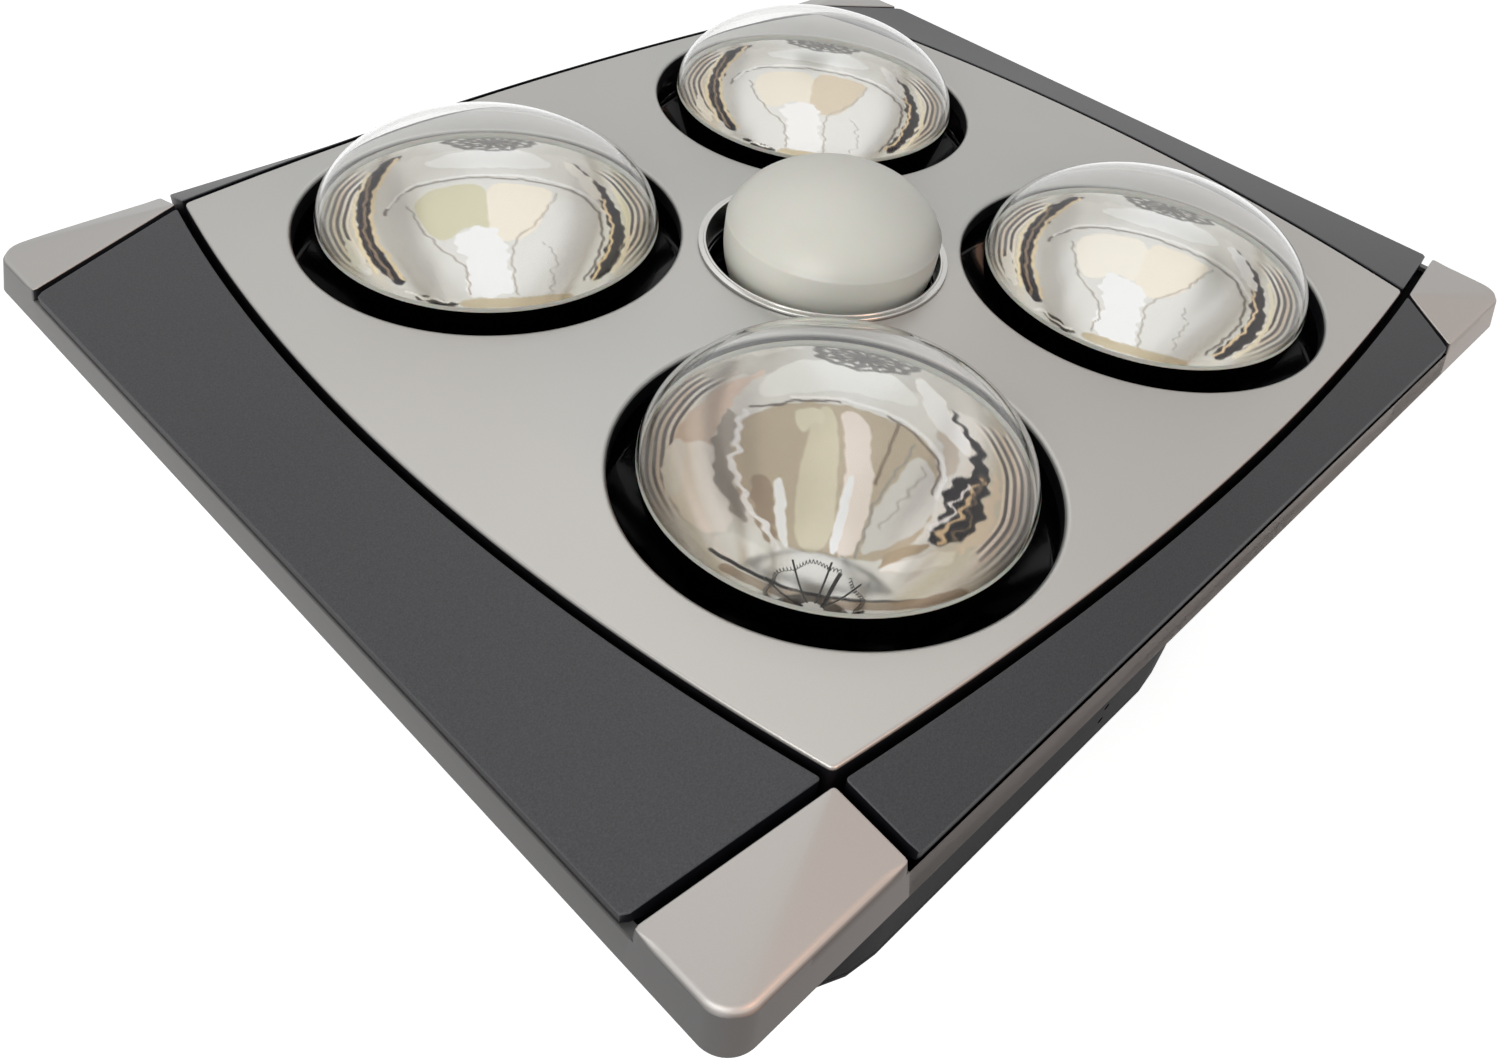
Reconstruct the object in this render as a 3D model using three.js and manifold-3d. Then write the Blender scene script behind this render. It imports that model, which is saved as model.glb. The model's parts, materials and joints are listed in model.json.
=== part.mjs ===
// Bathroom ceiling heater with four reflector heat lamps, a centre lamp and an exhaust fan.
// It lies on its back: the rear face of the housing is down and the lamps shine up.
// Millimetres, +Z up. The origin is the centre of the rear face.
import * as THREE from 'three';
import { mergeVertices } from 'three/addons/utils/BufferGeometryUtils.js';
import Module from 'manifold-3d';

const wasm = await Module();
wasm.setup();

// Fits
const clearance = 0.3;
const overrun = 1;
const weldDistance = 0.0005;

// Lamps. The rest of the heater is laid out round them.
const glassRadius = 62.5;
const domeRise = 32.2;
const equatorRise = 2.3;
const lampLength = 183;
const lampGap = 8.8;
const opalRadius = 41;
const opalGap = 4.1;
const ringBand = 3.1;
const lampWeb = 6.365;
const lampHoleRadius = glassRadius + lampGap;
const ringInnerRadius = opalRadius + opalGap;
const ringOuterRadius = ringInnerRadius + ringBand;
const lampPitch = Math.SQRT2 * (lampHoleRadius + ringOuterRadius + lampWeb);

// Centre panel: corner to corner, and how far each side bulges past its corners
const panelEndMargin = 10.5;
const panelSideMargin = 1.9;
const panelLength = lampPitch + 2 * (lampHoleRadius + panelEndMargin);
const panelWidth = lampPitch + 2 * (lampHoleRadius + panelSideMargin);
const panelBulgeX = 18.1;
const panelBulgeY = 10.6;
const panelSkin = 2.2;
const panelSkirt = 2;
const groove = 3.2;
const lipRadius = 1.6;
const lampCollarWall = 2;
const lampCollarDepth = 7;

// Fascia
const fasciaEndBand = 62.2;
const fasciaSideBand = 29.4;
const fasciaHeight = 24.7;
const fasciaLength = panelLength + 2 * fasciaEndBand;
const fasciaWidth = panelWidth + 2 * fasciaSideBand;

// Fascia frame
const rimCorner = 9.5;
const rimDraft = 2.2;
const rimWall = 2;
const ledgeDrop = 15;
const ledgeWidth = 3.5;
const ledgeThickness = 2;
const outerEdgeDrop = 10.7;
const kitePeakDrop = 1;
const kiteShortSideInset = 5.7;
const kiteLongSideInset = 1.1;
const kiteEndOnShortSide = panelWidth / 2 - kiteShortSideInset;
const kiteEndOnLongSide = panelLength / 2 - kiteLongSideInset;

// Side panels
const sidePanelPeakDrop = 0.8;
const sidePanelSetback = 0.6;
const sidePanelSkin = 2.2;
const sidePanelWall = 2;

// Ring round the centre lamp
const ringWall = 1.4;
const ringProud = 1.8;
const ringRound = 0.6;
const ringDepth = 10;

// Black tray under the panels
const trayThickness = 2.4;
const trayBossRadius = 7;
const trayBossPastLamp = 61;
const trayBossReach = lampPitch / 2 + trayBossPastLamp;

// Fascia clips
const clipPastLamp = 39;
const clipReach = lampPitch / 2 + clipPastLamp;
const clipWidth = 12;
const clipSteel = 0.8;
const clipHeadWidth = 16;
const clipThroat = 4.4;
const clipBulge = 7.4;
const clipBulgeDepth = 12;
const clipDepth = 30;

// Wells round the lamps
const wellWall = 1.4;
const wellCollarFit = 0.5;
const wellCollarStep = 1.8;
const wellFlangeWidth = 2.8;
const wellCollarGap = 1;
const wellFloorRadius = 31;
const wellAboveScroll = 3;
const wellSlotCount = 4;
const wellSlotWidth = 20;
const wellSlotFoot = 12;
const wellSlotHeight = 36;
const wellCollarRadius = lampHoleRadius + lampCollarWall + wellCollarFit + wellWall;
const wellConeTopRadius = wellCollarRadius - wellCollarStep;
const wellFlangeRadius = wellCollarRadius + wellFlangeWidth;
const centreWellCollarStep = 2;
const centreWellFlangeWidth = 1.8;
const centreWellFloorRadius = 27;
const centreWellCollarRadius = ringInnerRadius + wellCollarFit;
const centreWellConeTopRadius = centreWellCollarRadius - centreWellCollarStep;
const centreWellFlangeRadius = centreWellCollarRadius + centreWellFlangeWidth;

// Housing
const housingCorner = 60;
const housingWall = 1.2;
const mouthStep = 8;
const mouthStepDrop = 33.3;
const mouthStepHeight = 20;
const mouthRoomX = 5.6;
const mouthRoomY = 4.6;
const housingLength = lampPitch + 2 * (wellConeTopRadius + mouthRoomX - mouthStep);
const housingWidth = lampPitch + 2 * (wellConeTopRadius + mouthRoomY - mouthStep);
const flangeRimGap = 4.6;
const flangeWidth = (fasciaWidth - housingWidth) / 2 - rimWall - flangeRimGap - mouthStep;
const footFlangeWidth = 9;
const fixingSlotWidth = 5;
const fixingSlotLength = 14;
const fixingSlotInset = 19;
const fixingSlotEdge = 5;
const rearCoverDepth = 3.5;
const rearCoverWall = 1.2;
const piercedHoleRadius = 1.9;
const piercedHoleAcross = 57;
const piercedHoleHeights = [15.5, 26];

// Deck plate and its screws
const deckThickness = 1.2;
const deckLap = 8;
const deckScrewInset = 29;
const deckScrewRadius = 2;
const deckScrewHeadRadius = 3.8;
const deckScrewHeadHeight = 1.6;
const deckScrewLength = 7;

// Heat lamp glass and screw cap
const reflectorDepth = 82;
const reflectorFlare = 1.25;
const reflectorWaist = 1.15;
const neckRadius = 18;
const neckEndRadius = 13;
const neckTaper = 8;
const glassWall = 1;
const capRadius = 13.3;
const capHeight = 27;
const capShoulder = 6;
const contactRadius = 5;
const contactHeight = 1.6;
const capProud = 2.5;
const heatBowlShares = [0.75, 0.45, 0.2];
const heatBowlInsideShares = [0.6, 0.25];
const heatDomeShares = [0, 1 / 3, 2 / 3, 1];
const heatDomeInsideShares = [0, 1 / 2, 1];

// Filament and its stem
const stemRadius = 4;
const stemFootRadius = 7;
const stemFootHeight = 5;
const filamentDrop = 50;
const filamentRadius = 21;
const filamentWire = 0.8;
const leadWire = 1;
const supportCount = 4;
const wireSides = 3;

// Centre lamp
const opalEquatorRise = 9;
const opalRise = 32.2;
const opalBodyDepth = 58;
const opalNeckRadius = 14;
const opalLength = 115;
const opalCapProud = 1.2;
const opalBodyShares = [0.8, 0.6, 0.3];
const opalBodyInsideShares = [0.6, 0.3];
const opalDomeShares = [0, 0.25, 0.5, 0.75, 1];
const opalDomeInsideShares = [0, 0.5, 1];

// Lamp holders
const holderRadius = 20;
const holderFlangeRadius = 24;
const holderFlange = 4;
const holderWall = 0.9;
const holderFloor = 14;

// Fan
const fanOffset = -28;
const fanRoom = 27.9;
const fanBladeDepth = 12;
const fanRadius = Math.hypot(lampPitch / 2, lampPitch / 2 + fanOffset) - holderFlangeRadius - fanRoom;
const fanEyeRadius = fanRadius - fanBladeDepth;
const fanBladeCount = 24;
const fanBladeThickness = 1;
const fanBladeLean = 0.32;
const fanPlate = 1.2;
const fanRing = 3;
const fanGap = 4;
const fanHubRadius = 9;
const fanHubHeight = 18;
const shaftRadius = 3;
const shaftFoot = 6;
const scrollBase = 32;
const scrollHeight = 49;
const scrollWall = 1.2;
const scrollStartGap = 6;
const scrollSpread = 28;
const scrollStartRadius = fanRadius + scrollStartGap;
const scrollEndRadius = scrollStartRadius + scrollSpread;
const tongueAngle = 20;
const outletTop = 67;
const outletBottom = -13;
const outletFlareStart = 112;
const inletEyeLap = 1;
const inletRadius = fanEyeRadius - inletEyeLap;
const inletLipWall = 1.4;
const inletLipHeight = 6;
const inletLipFlare = 3;

// Motor
const motorRadius = 36;
const motorEdge = 5;
const motorBossRadius = 9;
const motorBossHeight = 4;
const motorFinCount = 6;
const motorFinWidth = 5;
const motorFinReach = 4;

// Duct spigot, seen along X from the housing wall
const ductAcross = 27.6;
const ductFootGap = 0.6;
const ductHoleInset = 1.5;
const spigotRadius = 49;
const spigotWall = 1.4;
const spigotLength = 62;
const spigotFlangeWidth = 4;
const spigotFlangeRadius = spigotRadius + spigotFlangeWidth;
const spigotFlange = 2;
const spigotBead = 1.4;
const spigotBeadPlace = 52;
const stopRingWidth = 2;
const stopRingReach = 3;

// Backdraught blades, their pin and springs
const pinPlace = 12;
const pinRadius = 1.5;
const bladeGap = 1.4;
const bladeRadius = spigotRadius - spigotWall - bladeGap;
const bladeThickness = 0.8;
const knuckleRadius = 3;
const knuckleGap = 1;
const knuckleEndRoom = 6.2;
const knuckleSlotCount = 4;
const knuckleStep = (bladeRadius - knuckleEndRoom) / knuckleSlotCount;
const knuckleLength = knuckleStep - knuckleGap;
const bladeRoot = 3.5;
const bladeNotch = 10;
const rightKnuckleSlots = [-knuckleSlotCount, 1];
const leftKnuckleSlots = [1 - knuckleSlotCount, 2];
const springWire = 0.5;
const springRadius = 2.5;
const springPitch = 1.05;
const springTurns = 3;
const springStepsPerTurn = 8;
const springSides = 5;
const springLeg = 13;

// Terminal box on the short side away from the duct
const boxWidth = 84;
const boxHeight = 54;
const boxDrop = 37.3;
const boxDepth = 38;
const boxWall = 1.8;
const boxCoverThickness = 1.8;
const boxWireHoleRadius = 8;
const blockLength = 36;
const blockWidth = 15;
const blockHeight = 12;
const blockStep = 4;
const blockPoleCount = 3;
const blockHoleRadius = 1.6;
const glandBore = 5;
const glandThreadRadius = 9;
const glandFlangeRadius = 12;
const glandFlangeThickness = 5;
const glandNutRadius = 11;
const glandNutLength = 10;
const glandDomeLength = 6;
const glandDomeRadius = 7.5;

// How finely round things are drawn
const lampSteps = 20;
const smallSteps = 12;
const screwSteps = 8;
const sideSteps = 10;
const scrollSteps = 18;
const bladeSteps = 2;
const damperSteps = 10;
const rimCornerSteps = 5;
const housingCornerSteps = 6;

// Heights worked out from the sizes above: fan, wells and lamps stand on each other
const scrollTop = scrollBase + scrollHeight;
const wellFloorHeight = scrollTop + wellAboveScroll;
const wellSlotLow = wellFloorHeight + wellSlotFoot;
const wellSlotHigh = wellSlotLow + wellSlotHeight;
const capTop = wellFloorHeight + capProud;
const capBottom = capTop - capHeight;
const lampTop = capBottom + lampLength;
const equator = lampTop - domeRise;
const panelTop = equator - equatorRise;
const fasciaBottom = panelTop - fasciaHeight;
const ledgeTop = panelTop - ledgeDrop;
const ledgeBottom = ledgeTop - ledgeThickness;
const trayTop = ledgeBottom - clearance;
const trayBottom = trayTop - trayThickness;
const flangeTop = fasciaBottom + housingWall;
const deckBottom = flangeTop + clearance;
const deckTop = deckBottom + deckThickness;
const wellFlangeBottom = deckTop + clearance;
const wellFlangeTop = wellFlangeBottom + wellWall;
const wellTop = panelTop - lampCollarDepth - wellCollarGap;
const centreWellTop = panelTop - ringDepth - wellCollarGap;
const opalTop = panelTop + opalRise;
const opalCapBottom = opalTop - opalLength;
const opalCapTop = opalCapBottom + capHeight;
const centreWellFloorHeight = opalCapTop - opalCapProud;
const mouthStepStart = fasciaBottom - mouthStepDrop;
const mouthStepEnd = mouthStepStart + mouthStepHeight;
const boxHigh = fasciaBottom - boxDrop;
const boxLow = boxHigh - boxHeight;
const housingFoot = rearCoverDepth + clearance;
const ductHeight = housingFoot + ductFootGap + spigotFlangeRadius;
const impellerBottom = scrollBase + scrollWall + fanGap;
const impellerTop = scrollTop - fanGap;
const wallInside = housingLength / 2 - housingWall;
const stopRingEnd = pinPlace - bladeThickness / 2 - clearance;
const stopRingStart = stopRingEnd - stopRingWidth;
const deckScrewAcross = housingWidth / 2 + mouthStep + deckLap / 2;
const deckScrewSpread = lampPitch / 2 - deckScrewInset;
const fixingSlotAcross = housingLength / 2 + mouthStep + flangeWidth - fixingSlotEdge;
const fixingSlotSpread = lampPitch / 2 - fixingSlotInset;

const materials = {
  silver: new THREE.MeshStandardMaterial({ color: 0xb4b1ab, roughness: 0.38, metalness: 0.75 }),
  satin: new THREE.MeshStandardMaterial({ color: 0xbfbeb9, roughness: 0.42, metalness: 0.6 }),
  gunmetal: new THREE.MeshStandardMaterial({ color: 0x474b50, roughness: 0.45, metalness: 0.55 }),
  bright: new THREE.MeshStandardMaterial({ color: 0xd5d3cf, roughness: 0.2, metalness: 0.9 }),
  glossBlack: new THREE.MeshStandardMaterial({ color: 0x07080a, roughness: 0.12, metalness: 0 }),
  matteBlack: new THREE.MeshStandardMaterial({ color: 0x15161a, roughness: 0.6, metalness: 0 }),
  steel: new THREE.MeshStandardMaterial({ color: 0x9a9c9e, roughness: 0.35, metalness: 0.9 }),
  brass: new THREE.MeshStandardMaterial({ color: 0xc9a85c, roughness: 0.3, metalness: 0.9 }),
  ceramic: new THREE.MeshStandardMaterial({ color: 0xe9e6dd, roughness: 0.3, metalness: 0 }),
  opal: new THREE.MeshStandardMaterial({ color: 0xd2d1c8, roughness: 0.12, metalness: 0 }),
  glass: new THREE.MeshStandardMaterial({ color: 0xe8efee, roughness: 0.03, transparent: true, opacity: 0.4 }),
  tungsten: new THREE.MeshStandardMaterial({ color: 0x4a4844, roughness: 0.4, metalness: 0.8 }),
  paleGrey: new THREE.MeshStandardMaterial({ color: 0xa7a9a9, roughness: 0.55, metalness: 0 }),
};

const heater = new THREE.Group();

function place(name, geometry, material) {
  const mesh = new THREE.Mesh(geometry, material);
  mesh.name = name;
  heater.add(mesh);
  return mesh;
}

const upward = new THREE.Vector3(0, 0, 1);
const degrees = (angle) => (angle * Math.PI) / 180;
const flat = (x, y) => new THREE.Vector2(x, y);

// Shared vertices are merged, collapsed triangles dropped and the faces turned outwards.
function weld(geometry) {
  const bare = geometry.clone();
  for (const name of Object.keys(bare.attributes)) {
    if (name !== 'position') bare.deleteAttribute(name);
  }
  const merged = mergeVertices(bare, weldDistance);
  const corners = merged.index.array;
  const kept = [];
  for (let i = 0; i < corners.length; i += 3) {
    const [a, b, c] = corners.subarray(i, i + 3);
    if (a !== b && b !== c && c !== a) kept.push(a, b, c);
  }
  merged.setIndex(kept);
  return turnedOutward(merged);
}

function turnedOutward(geometry) {
  const point = geometry.attributes.position;
  const corners = Array.from(geometry.index.array);
  const [a, b, c] = [new THREE.Vector3(), new THREE.Vector3(), new THREE.Vector3()];
  let volume = 0;
  for (let i = 0; i < corners.length; i += 3) {
    a.fromBufferAttribute(point, corners[i]);
    b.fromBufferAttribute(point, corners[i + 1]);
    c.fromBufferAttribute(point, corners[i + 2]);
    volume += a.dot(b.cross(c));
  }
  if (volume < 0) corners.reverse();
  geometry.setIndex(corners);
  return geometry;
}

function solid(geometry) {
  const { attributes, index } = weld(geometry);
  const vertProperties = new Float32Array(attributes.position.array);
  const triVerts = new Uint32Array(index.array);
  return new wasm.Manifold(new wasm.Mesh({ numProp: 3, vertProperties, triVerts }));
}

function shaped(manifold) {
  const mesh = manifold.getMesh();
  const geometry = new THREE.BufferGeometry();
  geometry.setAttribute('position', new THREE.BufferAttribute(mesh.vertProperties, 3));
  geometry.setIndex(new THREE.BufferAttribute(mesh.triVerts, 1));
  geometry.computeVertexNormals();
  return geometry;
}

const joined = (first, ...others) => others.reduce((sum, next) => sum.add(next), first);
const cut = (first, ...others) => others.reduce((rest, next) => rest.subtract(next), first);
const common = (first, ...others) => others.reduce((rest, next) => rest.intersect(next), first);

// A flat outline drawn in XY and pulled from one height to another.
function prism(outline, low, high, steps = smallSteps) {
  const shape = Array.isArray(outline) ? new THREE.Shape(outline) : outline;
  const settings = { depth: high - low, bevelEnabled: false, curveSegments: steps };
  return new THREE.ExtrudeGeometry(shape, settings).translate(0, 0, low);
}

// An outline drawn in (x, z) and pulled along Y, or in (y, z) and pulled along X.
function prismAlongY(outline, from, to, steps = smallSteps) {
  return prism(outline, from, to, steps).rotateX(Math.PI / 2).scale(1, -1, 1);
}

function prismAlongX(outline, from, to, steps = smallSteps) {
  return prism(outline, from, to, steps).rotateX(Math.PI / 2).rotateZ(Math.PI / 2);
}

function block(lowX, highX, lowY, highY, lowZ, highZ) {
  const box = new THREE.BoxGeometry(highX - lowX, highY - lowY, highZ - lowZ);
  return box.translate((lowX + highX) / 2, (lowY + highY) / 2, (lowZ + highZ) / 2);
}

// A profile of (radius, height) points turned about Z. A loop closes on itself.
function turned(profile, steps, isLoop = false) {
  const points = profile.map(([radius, height]) => flat(radius, height));
  if (isLoop) points.push(points[0].clone());
  return new THREE.LatheGeometry(points, steps).rotateX(Math.PI / 2);
}

function disc(radius, low, high, steps = smallSteps) {
  return turned([[0, low], [radius, low], [radius, high], [0, high]], steps);
}

// A turned piece whose axis lies along X.
function turnedAlongX(profile, steps, isLoop = false) {
  return turned(profile, steps, isLoop).rotateY(Math.PI / 2);
}

function rodAlongX(radius, from, to) {
  return disc(radius, from, to).rotateY(Math.PI / 2);
}

// A closed skin over rings of equally many points. The flat outline shows how to fill the ends.
function loft(rings, endOutline) {
  const count = rings[0].length;
  const last = (rings.length - 1) * count;
  const corners = [];
  for (let ring = 0; ring < rings.length - 1; ring++) {
    for (let i = 0; i < count; i++) {
      const a = ring * count + i;
      const b = ring * count + ((i + 1) % count);
      corners.push(a, b, b + count, a, b + count, a + count);
    }
  }
  for (const [a, b, c] of THREE.ShapeUtils.triangulateShape(endOutline, [])) {
    corners.push(c, b, a, last + a, last + b, last + c);
  }
  const geometry = new THREE.BufferGeometry();
  const places = rings.flat().flatMap((point) => [point.x, point.y, point.z]);
  geometry.setAttribute('position', new THREE.Float32BufferAttribute(places, 3));
  geometry.setIndex(corners);
  return geometry;
}

function roundedRectangle(halfX, halfY, radius, cornerSteps) {
  const centres = [[1, 1], [-1, 1], [-1, -1], [1, -1]];
  return centres.flatMap(([signX, signY], quarter) => {
    const points = [];
    for (let step = 0; step <= cornerSteps; step++) {
      const angle = degrees(90) * (quarter + step / cornerSteps);
      const x = signX * (halfX - radius) + radius * Math.cos(angle);
      points.push(flat(x, signY * (halfY - radius) + radius * Math.sin(angle)));
    }
    return points;
  });
}

// Rounded rectangles at several heights, each [halfX, halfY, corner radius, height].
function roundedLoft(levels, cornerSteps = housingCornerSteps) {
  const outlines = levels.map(([halfX, halfY, radius]) =>
    roundedRectangle(halfX, halfY, radius, cornerSteps));
  const lifted = (outline, level) => outline.map((p) => new THREE.Vector3(p.x, p.y, levels[level][3]));
  return loft(outlines.map(lifted), outlines[0]);
}

const mirrored = (geometry, x, y) => geometry.clone().scale(x, y, 1);
const fourCorners = [
  ['front_left', -1, -1],
  ['front_right', 1, -1],
  ['back_left', -1, 1],
  ['back_right', 1, 1],
];
const fourSides = [['left', -1, 0], ['right', 1, 0], ['front', 0, -1], ['back', 0, 1]];

// The pillow outline of the centre panel: four shallow arcs that meet at the corners.
// An offset outline keeps the arcs' centres and moves each arc out by the same distance.
const arcRadius = (half, bulge) => (half * half + bulge * bulge) / (2 * bulge);
const arcX = { radius: arcRadius(panelWidth / 2, panelBulgeX) };
const arcY = { radius: arcRadius(panelLength / 2, panelBulgeY) };
arcX.centre = panelLength / 2 + panelBulgeX - arcX.radius;
arcY.centre = panelWidth / 2 + panelBulgeY - arcY.radius;

function pillowCorner(offset) {
  const first = arcX.radius + offset;
  const second = arcY.radius + offset;
  const gap = Math.hypot(arcX.centre, arcY.centre);
  const along = (first * first - second * second + gap * gap) / (2 * gap);
  const across = Math.sqrt(first * first - along * along);
  const toward = flat(-arcX.centre, arcY.centre).divideScalar(gap);
  const side = flat(-toward.y, toward.x);
  const corner = flat(arcX.centre, 0).addScaledVector(toward, along);
  const choices = [across, -across].map((step) => corner.clone().addScaledVector(side, step));
  return choices.find((point) => point.x > 0 && point.y > 0);
}

function pillow(offset) {
  const corner = pillowCorner(offset);
  const reachX = Math.asin(corner.y / (arcX.radius + offset));
  const reachY = Math.asin(corner.x / (arcY.radius + offset));
  const points = [];
  for (let side = 0; side < 4; side++) {
    const turn = degrees(90) * side;
    const [arc, reach] = side % 2 === 0 ? [arcX, reachX] : [arcY, reachY];
    for (let step = 0; step < sideSteps; step++) {
      const angle = reach * ((2 * step) / sideSteps - 1);
      const radius = arc.radius + offset;
      const point = flat(arc.centre + radius * Math.cos(angle), radius * Math.sin(angle));
      points.push(point.rotateAround(flat(0, 0), turn));
    }
  }
  return points;
}

// The outside of the fascia leans in with height. The inset is measured from its skin.
function envelopeHalf(height) {
  const lean = (rimDraft * (height - fasciaBottom)) / (ledgeTop - fasciaBottom);
  return { x: fasciaLength / 2 - lean, y: fasciaWidth / 2 - lean };
}

function envelope(inset, low, high) {
  const level = (height) => {
    const half = envelopeHalf(height);
    return [half.x - inset, half.y - inset, Math.max(rimCorner - inset, rimCorner / 4), height];
  };
  return roundedLoft([level(low), level(high)], rimCornerSteps);
}

// The kites are the four corner pieces of the frame: two slopes that meet in a ridge.
const kitePeak = pillowCorner(groove);
const ledgeHalf = envelopeHalf(ledgeTop);
const edgeHalf = envelopeHalf(panelTop - outerEdgeDrop);
const kiteOnShortSide = flat(edgeHalf.x, kiteEndOnShortSide);
const kiteOnLongSide = flat(kiteEndOnLongSide, edgeHalf.y);

// A convex outline with every edge moved inwards.
function insetOutline(points, inset) {
  return points.map((point, i) => {
    const before = points[(i + points.length - 1) % points.length];
    const after = points[(i + 1) % points.length];
    const arriving = point.clone().sub(before).normalize();
    const leaving = after.clone().sub(point).normalize();
    const inward = flat(-arriving.y - leaving.y, arriving.x + leaving.x).normalize();
    const share = inward.dot(flat(-arriving.y, arriving.x));
    return point.clone().addScaledVector(inward, inset / share);
  });
}

function roof(start, end, inset) {
  const slope = (outerEdgeDrop - kitePeakDrop) / (end - start);
  const far = end + rimDraft;
  const peak = panelTop - kitePeakDrop - inset;
  const eave = panelTop - outerEdgeDrop - slope * rimDraft - inset;
  return [[-far, fasciaBottom], [far, fasciaBottom], [far, eave], [start, peak], [-start, peak], [-far, eave]]
    .map(([across, height]) => flat(across, height));
}

function kiteBlocks(inset, low) {
  const beyond = fasciaWidth / 2;
  const outward = (end) => end.clone().sub(kitePeak).normalize().multiplyScalar(beyond).add(end);
  const far = flat(kitePeak.x + beyond * 2, kitePeak.y + beyond * 2);
  const outline = insetOutline([kitePeak, outward(kiteOnShortSide), far, outward(kiteOnLongSide)], inset);
  const plan = prism(outline, low, panelTop);
  const corners = fourCorners.map(([, x, y]) => solid(mirrored(plan, x, y)));
  const slopeX = solid(prismAlongY(roof(kitePeak.x, edgeHalf.x, inset), -fasciaWidth, fasciaWidth));
  const slopeY = solid(prismAlongX(roof(kitePeak.y, edgeHalf.y, inset), -fasciaLength, fasciaLength));
  return common(joined(...corners), solid(envelope(inset, low, panelTop)), slopeX, slopeY);
}

function fasciaFrame() {
  const rim = cut(
    solid(envelope(0, fasciaBottom, ledgeTop)),
    solid(envelope(ledgeWidth, fasciaBottom - overrun, ledgeTop + overrun)),
    solid(envelope(rimWall, fasciaBottom - overrun, ledgeBottom)),
  );
  const kites = cut(kiteBlocks(0, ledgeBottom), kiteBlocks(rimWall, fasciaBottom - overrun));
  return shaped(joined(rim, kites));
}

place('fascia_frame', fasciaFrame(), materials.silver);

// Side panels, drawn in (outward, along, height) and turned into place.
function sidePanelPlan(arc, peak, kiteEnd, outer) {
  const inner = arc.radius + groove;
  const along = kiteEnd.clone().sub(peak).normalize();
  const aside = flat(along.y, -along.x).multiplyScalar(groove);
  const start = peak.clone().add(aside);
  const toCentre = flat(start.x - arc.centre, start.y);
  const half = toCentre.dot(along);
  const travel = -half + Math.sqrt(half * half - toCentre.lengthSq() + inner * inner);
  const tip = start.clone().addScaledVector(along, travel);
  const end = start.clone().addScaledVector(along, (outer - start.x) / along.x);
  return { inner, centre: arc.centre, tipAngle: Math.asin(tip.y / inner), endAlong: end.y };
}

function sidePanel(arc, peak, kiteEnd, ledgeOuter) {
  const outer = ledgeOuter - sidePanelSetback;
  const plan = sidePanelPlan(arc, peak, kiteEnd, outer);
  const ledgeEdge = ledgeOuter - ledgeWidth - clearance;
  const high = panelTop - sidePanelPeakDrop;
  const low = panelTop - outerEdgeDrop;
  const onLedge = ledgeTop + clearance;
  const onTray = trayTop + clearance;
  const section = (share, pick) => {
    const angle = plan.tipAngle * share;
    const inside = flat(plan.centre + plan.inner * Math.cos(angle), plan.inner * Math.sin(angle));
    const outside = flat(outer, plan.endAlong * share);
    return pick(inside.x).map(([across, height]) => {
      const part = (across - inside.x) / (outside.x - inside.x);
      return new THREE.Vector3(across, inside.y + (outside.y - inside.y) * part, height);
    });
  };
  const skinHeight = (inside, across) => high + ((low - high) * (across - inside)) / (outer - inside);
  const body = (inside) => [
    [inside, onTray],
    [ledgeEdge, onTray],
    [ledgeEdge, onLedge],
    [outer, onLedge],
    [outer, low],
    [inside, high],
  ];
  const hollow = (inside) => {
    const near = inside + sidePanelWall;
    const far = ledgeEdge - sidePanelWall;
    const under = (across) => skinHeight(inside, across) - sidePanelSkin;
    return [[near, onTray - overrun], [far, onTray - overrun], [far, under(far)], [near, under(near)]];
  };
  const run = (pick, limit) => {
    const rings = [];
    for (let step = 0; step <= sideSteps; step++) {
      rings.push(section(limit * ((2 * step) / sideSteps - 1), pick));
    }
    return loft(rings, pick(plan.centre + plan.inner).map(([across, height]) => flat(across, height)));
  };
  const endWall = sidePanelWall / plan.endAlong;
  return cut(solid(run(body, 1)), solid(run(hollow, 1 - endWall)));
}

const swapped = (point) => flat(point.y, point.x);
const widePanel = shaped(sidePanel(arcX, kitePeak, kiteOnShortSide, ledgeHalf.x));
const narrowPanel = shaped(sidePanel(arcY, swapped(kitePeak), swapped(kiteOnLongSide), ledgeHalf.y));
narrowPanel.applyMatrix4(new THREE.Matrix4().set(0, 1, 0, 0, 1, 0, 0, 0, 0, 0, 1, 0, 0, 0, 0, 1));
place('side_panel_left', turnedOutward(mirrored(widePanel, -1, 1)), materials.gunmetal);
place('side_panel_right', turnedOutward(widePanel), materials.gunmetal);
place('side_panel_front', turnedOutward(mirrored(narrowPanel, 1, -1)), materials.gunmetal);
place('side_panel_back', turnedOutward(narrowPanel), materials.gunmetal);

const atLamp = (geometry, x, y) => geometry.clone().translate((x * lampPitch) / 2, (y * lampPitch) / 2, 0);

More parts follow.
